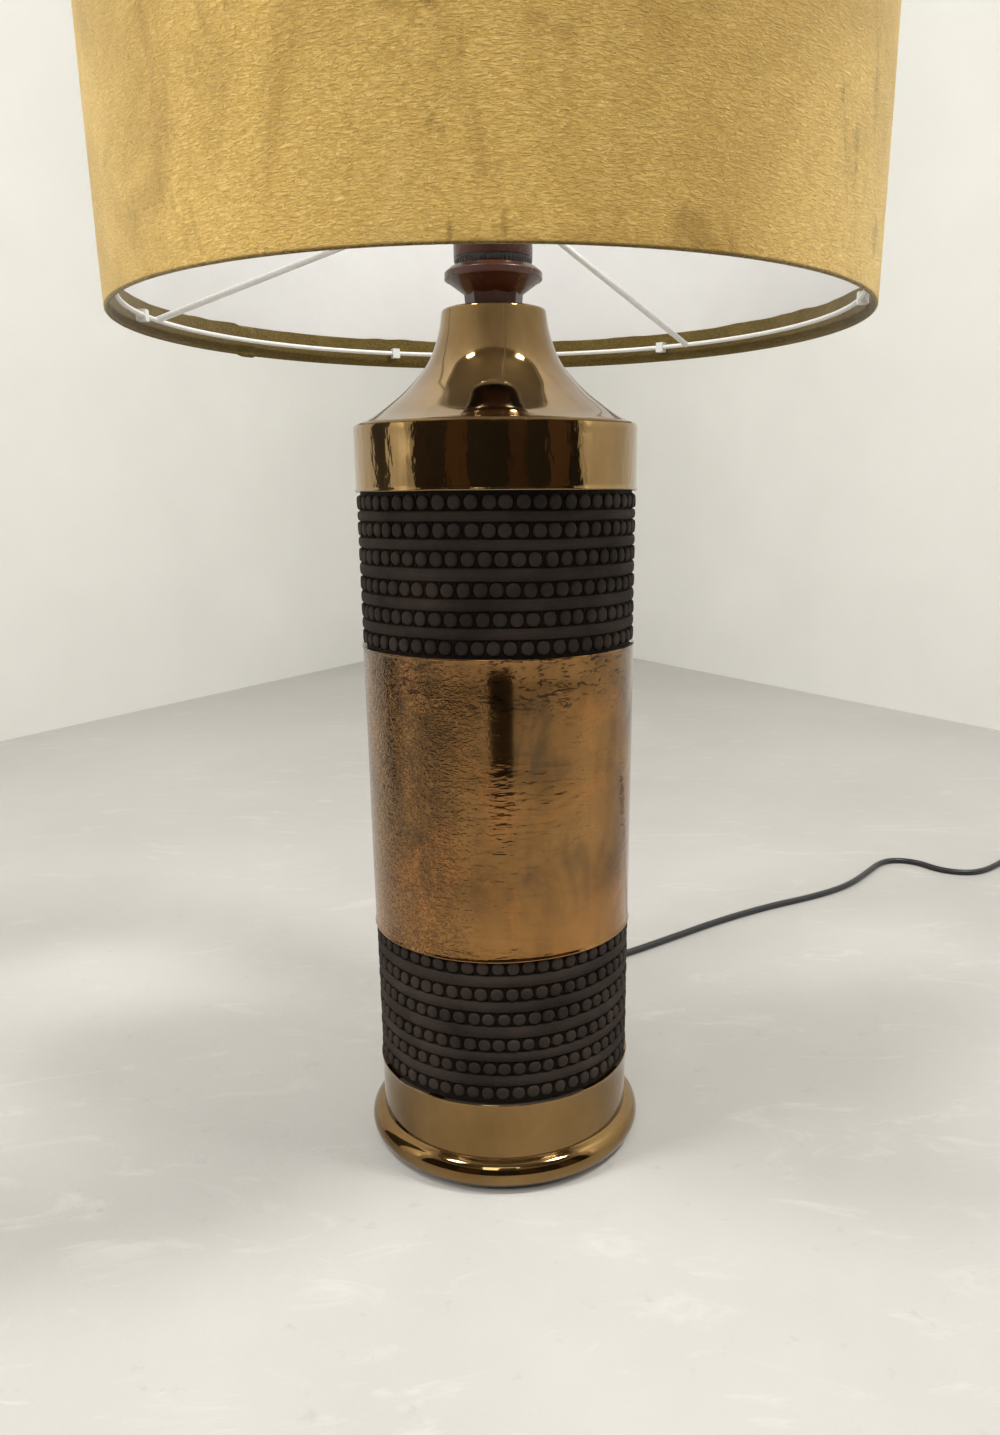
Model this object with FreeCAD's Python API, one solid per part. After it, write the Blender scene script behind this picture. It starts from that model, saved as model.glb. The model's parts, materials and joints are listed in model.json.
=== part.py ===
import FreeCAD, Part
import math
import os

# Ceramic table lamp with a fabric drum shade. Millimetres, +Z up.
# Origin: centre of the foot, on the surface the lamp stands on. The cord leaves towards +Y.

# ---- driving sizes -------------------------------------------------------------------------
# ceramic base
FELT_T = 1.5
FELT_INSET = 3.0
BODY_R = 79.0
BODY_H = 433.0            # underside of the foot to the shoulder edge
WALL = 7.0
FOOT_ROLL_R = 9.0         # half-round roll round the foot
FOOT_ROLL_OUT = 8.0       # how far the roll stands out of the body
SHOULDER_R = 2.0          # rounding of the shoulder edge
NECK_H = 59.0             # shoulder rounding to the neck's top edge
NECK_R = 28.6
NECK_EDGE_R = 1.6
NECK_TOP_T = 9.0
REBATE_DEPTH = 4.5        # step under the foot that takes the closing disc
REBATE_LIP = 3.0
LEDGE_T = 8.0
FOOT_WALL = 9.0           # body outside to the bore under the foot
# outline of the neck: share of the way out from the neck, share of the way up
NECK_SHAPE = ((1.0, 0.0), (0.80, 0.082), (0.51, 0.255), (0.223, 0.495), (0.081, 0.72), (0.0, 1.0))

# unglazed relief: two bands, each of equal channels
ROWS = 6
CHANNEL_H = 8.4
CHANNEL_DEPTH = 2.2
LOWER_ROW_Z = 62.7
LOWER_PITCH = 15.8
UPPER_ROW_Z = 322.2
UPPER_PITCH = 14.7

# lampholder
TUBE_R = 5.0              # threaded nipple M10
TUBE_BORE_R = 3.7
TUBE_GAP = 0.4            # nipple in the ceramic
TUBE_IN_CAP = 4.5         # how far the nipple screws into the cap
TUBE_PAST_NUT = 4.0
THREAD_GAP = 0.05
WASHER_R = 14.0
WASHER_T = 2.0
NUT_FLATS = 15.0
NUT_H = 5.0
CAP_FACETS = 8
CAP_TURN = 4.0            # turn of the facets, anticlockwise seen from above, in degrees
CAP_NECK_R = 15.6         # to the facets' corners
CAP_NECK_H = 6.9
CAP_WALL = 4.6            # facet corner to bore
CAP_CONE_H = 7.7
FLANGE_OUT = 5.2          # flange beyond the shell
FLANGE_LIP = 1.0          # flange beyond the cone
FLANGE_H = 3.9
BEVEL_H = 2.3
BEVEL_IN = 3.4
SHELL_R = 21.2
SHELL_WALL = 3.7
SHELL_SKIRT_H = 30.0
SHELL_THREAD_R = 19.7
SHELL_THREAD_H = 25.0
KNURLS = 40
KNURL_R = 0.6
KNURL_H = 3.5
SEAT_DEPTH = 4.3          # how deep the shell stands below the cap's dish
DISH_GAP = 1.2            # width and depth of the dish round the shell
FIT = 0.05
BLOCK_GAP = 0.2
BLOCK_H = 16.0
SCREW_SHELL_R = 14.4
SCREW_SHELL_T = 0.4
SCREW_SHELL_H = 28.0
CONTACT_H = 2.3
CENTRE_CONTACT_R = 3.5
CENTRE_CONTACT_GAP = 4.0  # centre contact to the screw shell's floor
TERMINALS = 3
TERMINAL_R = 1.8
TERMINAL_H = 5.0
TERMINAL_IN = 1.0         # terminal screws to the cap's wall
STRIP_T = 0.8             # side contact
STRIP_W = 8.0
STRIP_H = 9.0

# shade rings and shade
SHADE_RING_R = 28.5
SHADE_RING_H = 4.5
TOP_RING_H = 6.0
SCALLOPS = 24
SCALLOP_R = 1.5
SHADE_R = 199.8
SHADE_H = 280.0
RIM_TO_FITTER = 57.8      # bottom rim to the fitter ring's underside
FABRIC_T = 1.0
LINING_T = 0.6
HEM_H = 17.5
WIRE_R = 1.3
SPOKE_R = 1.75
RING_UP = 8.5             # wire ring above the rim
RING_GAP = 2.4            # wire ring to the hem
FITTER_R = 31.0
FITTER_T = 2.0
FITTER_GAP = 0.6
SPOKE_AZIMUTHS = (48.0, 171.0, 289.0)
CLIP_AZIMUTHS = (54.0, 111.0, 176.0, 231.0, 294.0, 351.0)
CLIP_W = 5.0
CLIP_H = 6.0
CLIP_IN = 0.6             # plastic inside the wire ring

# bulb
BULB_R = 30.0
BULB_GLASS_T = 1.0
BULB_NECK_R = 13.5
BULB_CAP_R = 13.1
BULB_CAP_H = 24.0
BULB_CONTACT_R = 4.5
BULB_CONTACT_H = 1.7
BULB_INSULATOR_H = 3.5
BULB_INSULATOR_OUT = 1.0  # insulator beyond the foot contact
BULB_CAP_TURN_IN = 2.0    # insulator short of the cap's outside
BULB_GLASS_H = 76.0
BULB_NECK_SHARE = 0.3     # straight neck, as a share of the way up to the ball's centre
BULB_WAIST_SHARE = 0.4
BULB_FLARE_DEG = -30.0    # where the flare meets the ball
BULB_ARC_DEG = 34.0       # a middle point of the ball's arc
STEM_FOOT_R = 8.0
STEM_TIP_R = 3.0
STEM_H = 38.0
FILAMENT_SPAN = 14.0
FILAMENT_FOOT = 1.5
FILAMENT_UP = 10.0
FILAMENT_R = 0.6

# cord set
CORD_R = 3.0
GLAND_Z = 28.0
GLAND_FLANGE_R = 8.0
GLAND_FLANGE_T = 3.0
GLAND_HOLE_R = 5.0
GLAND_TAIL = 26.0
GLAND_TAIL_R = 5.4
GLAND_TIP_R = 4.0
GLAND_NUT_T = 4.0
GRIP_L = 10.0
GRIP_WALL = 2.0
GLAND_STEM_IN = 2.0       # stem beyond the nut
END_RUN = 15.0            # straight cord before a strain relief
COIL_CENTRE = (742.5, 521.7)
COIL_MEAN_R = 31.5
TIE_W = 9.0
TIE_T = 0.6
TIE_TURN = 150.0
RELIEF_TIP_R = 3.9
RELIEF_ROOT_R = 5.0

SWITCH_CENTRE = (665.2, 558.6)
SWITCH_TURN = 25.0
SWITCH_L = 62.0
SWITCH_W = 26.0
SWITCH_H = 18.0
SWITCH_WALL = 1.8
SWITCH_RELIEF = 20.0
SWITCH_CORD_Z = 5.0
ROCKER_L = 16.0
ROCKER_W = 10.0
ROCKER_TILT = 8.0
ROCKER_GAP = 0.4
PIVOT_Z = 13.0
ROCKER_END_GAP = 1.1
ROCKER_TIP_Z = 5.2        # heights of the rocker's outline from its pivot
ROCKER_DIP_Z = 4.2
ROCKER_SKIRT_Z = -1.0
ROCKER_KEEL_Z = -5.0
ROCKER_KEEL_HALF = 3.0
ROCKER_DRAFT = 0.6
PIN_R = 1.0
PIN_IN_WALL = 0.8
SWITCH_CORNER_R = 6.0
SWITCH_INNER_CORNER_R = 3.0
SWITCH_EDGE_R = 2.0
POST_R = 3.2
POST_IN_FLOOR = 1.0       # how far the posts run into floor and lid
POST_FROM_END = 7.0
POST_FROM_WALL = 4.0
SCREW_R = 1.3
SCREW_HEAD_R = 2.6
SCREW_HEAD_H = 1.6
SCREW_SUNK = 0.4
SCREW_SHORT = 4.0         # screw shorter than the housing is high
CONTACT_X = 15.0
CONTACT_SIZE = (8.0, 6.0, 7.0)
BRIDGE_SIZE = (18.0, 4.0, 3.2)

PLUG_TIP = (684.0, 474.5)
PLUG_TURN = 197.0
PLUG_RELIEF = 22.0
PLUG_L = 36.0
PLUG_W = 35.0
PLUG_ROOT_W = 12.0
PLUG_T = 13.7
PLUG_TAPER_L = 12.0       # length of the taper at each end of the grip
PLUG_TAPER_W = 4.0
PLUG_EDGE_R = 2.5
PLUG_SLEEVE_L = 10.0
PLUG_PIN_L = 19.0
PLUG_PIN_R = 2.0
PLUG_CORE_R = 1.6
PLUG_PIN_SPACING = 18.0
PIN_ROUNDING = 1.2

# ---- sizes that follow ---------------------------------------------------------------------
FOOT_Z = FELT_T
SHOULDER_Z = FOOT_Z + BODY_H
NECK_START_Z = SHOULDER_Z + SHOULDER_R
NECK_START_R = BODY_R - SHOULDER_R
NECK_END_Z = NECK_START_Z + NECK_H - NECK_EDGE_R
CERAMIC_TOP_Z = NECK_END_Z + NECK_EDGE_R
CAVITY_R = BODY_R - WALL
FOOT_RING_R = BODY_R + FOOT_ROLL_OUT - FOOT_ROLL_R
FOOT_BORE_R = BODY_R - FOOT_WALL
LEDGE_R = FOOT_BORE_R - REBATE_LIP
CAVITY_ROOF_Z = CERAMIC_TOP_Z - NECK_TOP_T

CAP_Z = CERAMIC_TOP_Z
CAP_CONE_Z = CAP_Z + CAP_NECK_H
FLANGE_Z = CAP_CONE_Z + CAP_CONE_H
CAP_TOP_Z = FLANGE_Z + FLANGE_H + BEVEL_H
FLANGE_R = SHELL_R + FLANGE_OUT
CAP_CONE_R = FLANGE_R - FLANGE_LIP
CAP_BORE_R = CAP_NECK_R - CAP_WALL
CAP_FLAT_R = CAP_NECK_R * math.cos(math.pi / CAP_FACETS)
SHELL_Z = CAP_TOP_Z - SEAT_DEPTH - DISH_GAP
SHELL_STEP_Z = SHELL_Z + SHELL_SKIRT_H
SHELL_TOP_Z = SHELL_STEP_Z + SHELL_THREAD_H
SHELL_BORE_R = SHELL_R - SHELL_WALL
BLOCK_TOP_Z = SHELL_Z + BLOCK_H
TUBE_TOP_Z = CAP_Z + TUBE_IN_CAP
NUT_Z = CAVITY_ROOF_Z - WASHER_T - NUT_H
TUBE_BOTTOM_Z = NUT_Z - TUBE_PAST_NUT

FITTER_Z = SHELL_STEP_Z + SHADE_RING_H
FITTER_TOP_Z = FITTER_Z + FITTER_T
RIM_Z = FITTER_Z - RIM_TO_FITTER
SHADE_TOP_Z = RIM_Z + SHADE_H
LINING_OUT_R = SHADE_R - FABRIC_T
LINING_IN_R = LINING_OUT_R - LINING_T
HEM_R = LINING_IN_R - FABRIC_T
RING_R = HEM_R - RING_GAP - WIRE_R

BULB_Z = BLOCK_TOP_Z + CONTACT_H
BULB_INSULATOR_Z = BULB_Z + BULB_CONTACT_H
BULB_CAP_Z = BULB_INSULATOR_Z + BULB_INSULATOR_H
BULB_GLASS_Z = BULB_CAP_Z + BULB_CAP_H

GLAND_TIP_Y = BODY_R + GLAND_FLANGE_T + GLAND_TAIL
CORD_D = 2 * CORD_R
COIL_IN_R = COIL_MEAN_R - CORD_D
COIL_OUT_R = COIL_MEAN_R + CORD_D
COIL_H = 2 * CORD_D
SWITCH_REACH = SWITCH_L / 2 + SWITCH_RELIEF
SWITCH_SPLIT_Z = SWITCH_H / 2
PLUG_CORD_Z = PLUG_T / 2
OVERCUT = 1.0             # cutting shapes run this far past the solid
TINY = 1e-6


def vec(x, y, z):
    return FreeCAD.Vector(x, y, z)


UP = vec(0, 0, 1)
NODES = {}


def node(name, shape):
    """Keep a shape under the name it is exported with."""
    NODES[name] = shape


# ---- small shape helpers -------------------------------------------------------------------
def disc(radius, low, high):
    return Part.makeCylinder(radius, high - low, vec(0, 0, low))


def tube(inner, outer, low, high):
    return disc(outer, low, high).cut(disc(inner, low - OVERCUT, high + OVERCUT))


def cone(low_radius, high_radius, low, high):
    return Part.makeCone(low_radius, high_radius, high - low, vec(0, 0, low))


def block(x, y, z):
    """Box from three (low, high) pairs."""
    size = [pair[1] - pair[0] for pair in (x, y, z)]
    return Part.makeBox(size[0], size[1], size[2], vec(x[0], y[0], z[0]))


def rz(radius, height):
    """Point of a turned outline."""
    return vec(radius, 0, height)


def line(start, end):
    return Part.LineSegment(start, end).toShape()


def arc(start, middle, end):
    return Part.Arc(start, middle, end).toShape()


def curve(points):
    spline = Part.BSplineCurve()
    spline.interpolate(points)
    return spline.toShape()


def lines(points):
    return [line(a, b) for a, b in zip(points, points[1:])]


def turned(edges):
    """Solid of revolution about Z of a closed outline."""
    return Part.Face(Part.Wire(edges)).revolve(vec(0, 0, 0), UP, 360)


def turned_polygon(outline):
    points = [rz(r, z) for r, z in outline]
    return turned(lines(points + points[:1]))


def polar(radius, degrees, height):
    angle = math.radians(degrees)
    return vec(radius * math.cos(angle), radius * math.sin(angle), height)


def rod(start, end, radius):
    step = end - start
    return Part.makeCylinder(radius, step.Length, start, step)


def turned_copy(shape, degrees):
    copy = shape.copy()
    copy.rotate(vec(0, 0, 0), UP, degrees)
    return copy


def placed(shape, centre, degrees):
    """Shape drawn along X at the origin, moved to its place on the floor."""
    copy = turned_copy(shape, degrees)
    copy.translate(vec(centre[0], centre[1], 0))
    return copy


def prism(outline, low, high):
    """Upright prism of an (x, y) outline."""
    points = [vec(x, y, low) for x, y in outline]
    face = Part.Face(Part.makePolygon(points + points[:1]))
    return face.extrude(vec(0, 0, high - low))


# ---- ceramic base --------------------------------------------------------------------------
def neck_outline(inset):
    """Points of the neck's concave outline, moved into the wall by inset."""
    points = []
    for out, up in NECK_SHAPE:
        radius = NECK_R + out * (NECK_START_R - NECK_R)
        height = NECK_START_Z + up * (NECK_END_Z - NECK_START_Z)
        slope = math.radians(90 * up ** 0.5)
        points.append(rz(radius - inset * math.sin(slope), height - inset * math.cos(slope)))
    return points


def ceramic_body():
    outer = neck_outline(0)
    inner = neck_outline(WALL)
    roll_z = FOOT_Z + FOOT_ROLL_R
    roll_top = roll_z + math.sqrt(FOOT_ROLL_R ** 2 - (BODY_R - FOOT_RING_R) ** 2)
    step_z = FOOT_Z + REBATE_DEPTH
    ledge_z = step_z + LEDGE_T
    corner = SHOULDER_R * (1 - math.sqrt(0.5))
    shoulder = rz(BODY_R - corner, NECK_START_Z - corner)
    lip = NECK_EDGE_R * (1 - math.sqrt(0.5))
    neck_lip = rz(NECK_R - lip, CERAMIC_TOP_Z - lip)
    bore = TUBE_R + TUBE_GAP
    edges = [line(rz(FOOT_BORE_R, FOOT_Z), rz(FOOT_RING_R, FOOT_Z)),
             arc(rz(FOOT_RING_R, FOOT_Z), rz(FOOT_RING_R + FOOT_ROLL_R, roll_z), rz(BODY_R, roll_top)),
             line(rz(BODY_R, roll_top), rz(BODY_R, SHOULDER_Z)),
             arc(rz(BODY_R, SHOULDER_Z), shoulder, outer[0]),
             curve(outer),
             arc(outer[-1], neck_lip, rz(NECK_R - NECK_EDGE_R, CERAMIC_TOP_Z))]
    edges += lines([rz(NECK_R - NECK_EDGE_R, CERAMIC_TOP_Z), rz(bore, CERAMIC_TOP_Z), rz(bore, CAVITY_ROOF_Z),
                    rz(inner[-1].x, CAVITY_ROOF_Z)])
    roofed = [p for p in inner if p.z < CAVITY_ROOF_Z - OVERCUT] + [rz(inner[-1].x, CAVITY_ROOF_Z)]
    edges.append(curve(roofed))
    edges += lines([roofed[0], rz(CAVITY_R, roofed[0].z), rz(CAVITY_R, ledge_z), rz(LEDGE_R, ledge_z),
                    rz(LEDGE_R, step_z), rz(FOOT_BORE_R, step_z), rz(FOOT_BORE_R, FOOT_Z)])
    body = turned([edge for edge in edges if edge.Length > TINY])
    channels = []
    for first, pitch in ((LOWER_ROW_Z, LOWER_PITCH), (UPPER_ROW_Z, UPPER_PITCH)):
        for row in range(ROWS):
            low = first + row * pitch - CHANNEL_H / 2
            channels.append(tube(BODY_R - CHANNEL_DEPTH, BODY_R + OVERCUT, low, low + CHANNEL_H))
    body = body.cut(Part.makeCompound(channels))
    hole_start = vec(0, CAVITY_R - WALL, GLAND_Z)
    return body.cut(Part.makeCylinder(GLAND_HOLE_R, 3 * WALL, hole_start, vec(0, 1, 0)))


def make_base():
    node("ceramic_body", ceramic_body())
    node("base_felt", disc(FOOT_RING_R - FELT_INSET, 0, FELT_T))
    node("base_disc", disc(FOOT_BORE_R - FIT, FOOT_Z, FOOT_Z + REBATE_DEPTH))


def along_y(radius_in, radius_out, low, high):
    """Tube along Y at the gland's height."""
    start = vec(0, low, GLAND_Z)
    outer = Part.makeCylinder(radius_out, high - low, start, vec(0, 1, 0))
    return outer.cut(Part.makeCylinder(radius_in, high - low, start, vec(0, 1, 0)))


def make_gland():
    bore = CORD_R + FIT
    flange_y = BODY_R + GLAND_FLANGE_T
    flange = along_y(bore, GLAND_FLANGE_R, BODY_R - GLAND_FLANGE_R, flange_y)
    flange = flange.cut(disc(BODY_R, 0, SHOULDER_Z))
    stem_y = CAVITY_R - GLAND_NUT_T - GLAND_STEM_IN
    stem = along_y(bore, GLAND_HOLE_R - FIT, stem_y, flange_y)
    tail = Part.makeCone(GLAND_TAIL_R, GLAND_TIP_R, GLAND_TAIL, vec(0, flange_y, GLAND_Z), vec(0, 1, 0))
    tail = tail.cut(Part.makeCylinder(bore, GLAND_TAIL, vec(0, flange_y, GLAND_Z), vec(0, 1, 0)))
    node("cord_gland", flange.fuse(stem).fuse(tail).removeSplitter())
    nut_face = math.sqrt(CAVITY_R ** 2 - GLAND_FLANGE_R ** 2)
    node("gland_nut", along_y(GLAND_HOLE_R - FIT, GLAND_FLANGE_R, nut_face - GLAND_NUT_T, nut_face))
    node("cord_grip", along_y(CORD_R, CORD_R + FIT + GRIP_WALL + FIT, stem_y - GRIP_L, stem_y))


# ---- cords ---------------------------------------------------------------------------------
def cord(name, points):
    """Round cord along straight runs joined by tangent arcs; prints its length and tightest arc."""
    points = [FreeCAD.Vector(p) for p in points]
    edges = []
    radii = []
    start = points[0]
    for before, corner, after in zip(points, points[1:], points[2:]):
        come = (corner - before).normalize()
        leave = (after - corner).normalize()
        cut_back = 0.45 * min((corner - before).Length, (after - corner).Length)
        half_turn = come.getAngle(leave) / 2
        radius = cut_back / math.tan(half_turn)
        inward = (leave - come).normalize()
        first = corner - come * cut_back
        last = corner + leave * cut_back
        middle = corner + inward * (radius / math.cos(half_turn) - radius)
        edges.append(line(start, first))
        edges.append(arc(first, middle, last))
        radii.append(radius)
        start = last
    edges.append(line(start, points[-1]))
    path = Part.Wire(edges)
    heading = points[1] - points[0]
    section = Part.Wire(Part.Circle(points[0], heading, CORD_R).toShape())
    solid = path.makePipeShell([section], True, False)
    share = solid.Volume / (math.pi * CORD_R ** 2 * path.Length)
    print("%s: length %.0f, volume share %.4f, radii %s"
          % (name, path.Length, share, " ".join("%.0f" % r for r in radii)))
    node(name, solid)


def make_cords():
    switch = vec(SWITCH_CENTRE[0], SWITCH_CENTRE[1], SWITCH_CORD_Z)
    plug = vec(PLUG_TIP[0], PLUG_TIP[1], PLUG_CORD_Z)
    switch_in = switch - polar(SWITCH_REACH, SWITCH_TURN, 0)
    switch_out = switch + polar(SWITCH_REACH, SWITCH_TURN, 0)
    before_switch = switch_in - polar(END_RUN, SWITCH_TURN, 0)
    after_switch = switch_out + polar(END_RUN, SWITCH_TURN, 0)
    before_plug = plug - polar(END_RUN, PLUG_TURN, 0)
    cord("inner_cord", [
        (0, GLAND_TIP_Y, GLAND_Z), (0, 38, GLAND_Z), (1, 12, 56), (2, 4, 96), (0, 1, 150), (-3, -2, 216),
        (1, 2, 286), (3, 2, 356), (1, -1, 416), (0, 0, 462), (0, 0.05, SHELL_Z - 3)])
    cord("mains_cord", [
        (0, GLAND_TIP_Y, GLAND_Z), (0, 128, GLAND_Z), (2, 150, 16), (7, 172, 6), (16, 194, CORD_R),
        (36, 214, CORD_R), (68, 230, CORD_R), (108, 254, CORD_R), (154, 288, CORD_R), (206, 328, CORD_R),
        (264, 365, CORD_R), (324, 394, CORD_R), (366, 424, CORD_R), (397, 461, CORD_R), (424, 496, CORD_R),
        (446, 502, CORD_R), (466, 491, CORD_R), (478, 468, CORD_R), (498, 456, CORD_R), (521, 458, CORD_R),
        (551, 482, CORD_R), (572, 505, CORD_R), (588, 519, 3.6), before_switch, switch_in])
    cord("switch_to_coil_cord", [
        switch_out, after_switch, (746, 585, 3.4), (764, 571.5, CORD_R), (774.2, 549.7, CORD_R),
        (COIL_CENTRE[0] + COIL_MEAN_R + CORD_R, COIL_CENTRE[1] + 6.3, CORD_R)])
    cord("plug_lead", [
        (COIL_CENTRE[0], COIL_CENTRE[1] - COIL_MEAN_R - CORD_R, 3 * CORD_R), (721, 486.3, 8), before_plug,
        plug])


def make_coil():
    rounding = CORD_R - FIT
    coil = tube(COIL_IN_R, COIL_OUT_R, 0, COIL_H)
    coil = coil.makeFillet(rounding, coil.Edges)
    half = TIE_W / 2
    reach = (COIL_IN_R - TIE_T, COIL_OUT_R + TIE_T)
    tie = block(reach, (-half, half), (0, COIL_H + TIE_T))
    tie = tie.cut(block((COIL_IN_R, COIL_OUT_R), (-TIE_W, TIE_W), (TIE_T, COIL_H)))
    tie = turned_copy(tie, TIE_TURN)
    coil = coil.cut(tie)
    node("cord_coil", placed(coil, COIL_CENTRE, 0))
    node("coil_tie", placed(tie, COIL_CENTRE, 0))


# ---- lampholder ----------------------------------------------------------------------------
def holder_cap():
    """Facetted neck that runs up into a round cone, with a bevelled flange and a dish for the shell."""
    corners = [polar(CAP_NECK_R, CAP_TURN + k * 360.0 / CAP_FACETS, 0) for k in range(CAP_FACETS)]
    neck = prism([(corner.x, corner.y) for corner in corners], CAP_Z, FLANGE_Z)
    flare = cone(CAP_FLAT_R, CAP_CONE_R, CAP_CONE_Z, FLANGE_Z)
    flange = disc(FLANGE_R, FLANGE_Z, FLANGE_Z + FLANGE_H)
    bevel = cone(FLANGE_R, FLANGE_R - BEVEL_IN, FLANGE_Z + FLANGE_H, CAP_TOP_Z)
    cap = neck.fuse([flare, flange, bevel])
    cap = cap.cut(disc(SHELL_R + FIT, SHELL_Z, CAP_TOP_Z))
    cap = cap.cut(disc(SHELL_R + FIT + DISH_GAP, CAP_TOP_Z - DISH_GAP, CAP_TOP_Z))
    cap = cap.cut(disc(CAP_BORE_R, TUBE_TOP_Z - TUBE_GAP, SHELL_Z))
    return cap.cut(disc(TUBE_R, CAP_Z, CAP_TOP_Z)).removeSplitter()


def holder_shell():
    shell = disc(SHELL_R, SHELL_Z, SHELL_STEP_Z).fuse(disc(SHELL_THREAD_R, SHELL_STEP_Z, SHELL_TOP_Z))
    shell = shell.cut(disc(SHELL_BORE_R, SHELL_Z, SHELL_TOP_Z))
    grooves = []
    for k in range(KNURLS):
        foot = polar(SHELL_R, k * 360.0 / KNURLS, CAP_TOP_Z)
        grooves.append(Part.makeCylinder(KNURL_R, KNURL_H, foot))
    return shell.cut(Part.makeCompound(grooves))


def make_holder():
    node("threaded_nipple", tube(TUBE_BORE_R, TUBE_R, TUBE_BOTTOM_Z, TUBE_TOP_Z))
    node("neck_washer", tube(TUBE_R, WASHER_R, NUT_Z + NUT_H, CAVITY_ROOF_Z))
    corner = NUT_FLATS / 2 / math.cos(math.radians(30))
    hexagon = [(p.x, p.y) for p in (polar(corner, 60 * k, 0) for k in range(6))]
    node("neck_nut", prism(hexagon, NUT_Z, NUT_Z + NUT_H).cut(disc(TUBE_R, NUT_Z, NUT_Z + NUT_H)))
    node("holder_cap", holder_cap())
    node("holder_shell", holder_shell())
    node("contact_block", disc(SHELL_BORE_R - BLOCK_GAP, SHELL_Z, BLOCK_TOP_Z))
    floor_z = BLOCK_TOP_Z + SCREW_SHELL_T
    wall = tube(SCREW_SHELL_R - SCREW_SHELL_T, SCREW_SHELL_R, BLOCK_TOP_Z, BLOCK_TOP_Z + SCREW_SHELL_H)
    floor = tube(CENTRE_CONTACT_R + CENTRE_CONTACT_GAP, SCREW_SHELL_R, BLOCK_TOP_Z, floor_z)
    node("screw_shell", wall.fuse(floor).removeSplitter())
    node("centre_contact", disc(CENTRE_CONTACT_R, BLOCK_TOP_Z, BLOCK_TOP_Z + CONTACT_H))
    strip_top = BLOCK_TOP_Z + STRIP_H
    strip = tube(SCREW_SHELL_R, SCREW_SHELL_R + STRIP_T, BLOCK_TOP_Z, strip_top)
    strip_room = block((0, SHELL_R), (-STRIP_W / 2, STRIP_W / 2), (BLOCK_TOP_Z, strip_top))
    node("side_contact", strip.common(strip_room))
    spread = CAP_BORE_R - TERMINAL_R - TERMINAL_IN
    screws = [Part.makeCylinder(TERMINAL_R, TERMINAL_H, polar(spread, 120 * k + 30, SHELL_Z - TERMINAL_H))
              for k in range(TERMINALS)]
    node("terminal_screws", Part.makeCompound(screws))


def shade_ring(low, high, gap):
    ring = tube(SHELL_THREAD_R + gap, SHADE_RING_R, low, high)
    cut_r = SHADE_RING_R + SCALLOP_R / 2
    cuts = [Part.makeCylinder(SCALLOP_R, high - low, polar(cut_r, k * 360.0 / SCALLOPS, low))
            for k in range(SCALLOPS)]
    return ring.cut(Part.makeCompound(cuts))


# ---- shade ---------------------------------------------------------------------------------
def make_shade():
    low = RIM_Z + FABRIC_T
    high = SHADE_TOP_Z - FABRIC_T
    node("shade_fabric", turned_polygon([
        (HEM_R, RIM_Z), (SHADE_R, RIM_Z), (SHADE_R, SHADE_TOP_Z), (HEM_R, SHADE_TOP_Z),
        (HEM_R, SHADE_TOP_Z - HEM_H), (LINING_IN_R, SHADE_TOP_Z - HEM_H), (LINING_IN_R, high),
        (LINING_OUT_R, high), (LINING_OUT_R, low), (LINING_IN_R, low), (LINING_IN_R, RIM_Z + HEM_H),
        (HEM_R, RIM_Z + HEM_H)]))
    node("shade_lining", tube(LINING_IN_R, LINING_OUT_R, low, high))
    rings = {"bottom": RIM_Z + RING_UP, "top": SHADE_TOP_Z - RING_UP}
    for place, ring_z in rings.items():
        ring = Part.makeTorus(RING_R, WIRE_R, vec(0, 0, ring_z))
        node(place + "_wire_ring", ring)
        node(place + "_ring_clips", Part.makeCompound(ring_clips(ring, ring_z)))
    fitter = tube(SHELL_THREAD_R + FITTER_GAP, FITTER_R, FITTER_Z, FITTER_TOP_Z)
    node("fitter_ring", fitter)
    middle = (FITTER_Z + FITTER_TOP_Z) / 2
    spokes = []
    for azimuth in SPOKE_AZIMUTHS:
        inner_end = polar(FITTER_R - SPOKE_R, azimuth, middle)
        spoke = rod(inner_end, polar(RING_R, azimuth, rings["bottom"]), SPOKE_R)
        clear = disc(FITTER_R, FITTER_Z - 2 * SPOKE_R, FITTER_TOP_Z + 2 * SPOKE_R)
        spoke = spoke.cut(NODES["bottom_wire_ring"]).cut(clear)
        spokes.append(max(spoke.Solids, key=lambda solid: solid.Volume))
    node("shade_spokes", Part.makeCompound(spokes))


def ring_clips(ring, ring_z):
    clips = []
    half = CLIP_W / 2
    inside = RING_R - WIRE_R - CLIP_IN
    for azimuth in CLIP_AZIMUTHS:
        clip = block((inside, SHADE_R), (-half, half), (ring_z - CLIP_H / 2, ring_z + CLIP_H / 2))
        clip = clip.common(disc(HEM_R, RIM_Z, SHADE_TOP_Z)).cut(ring)
        clips.append(turned_copy(clip, azimuth))
    return clips


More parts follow.
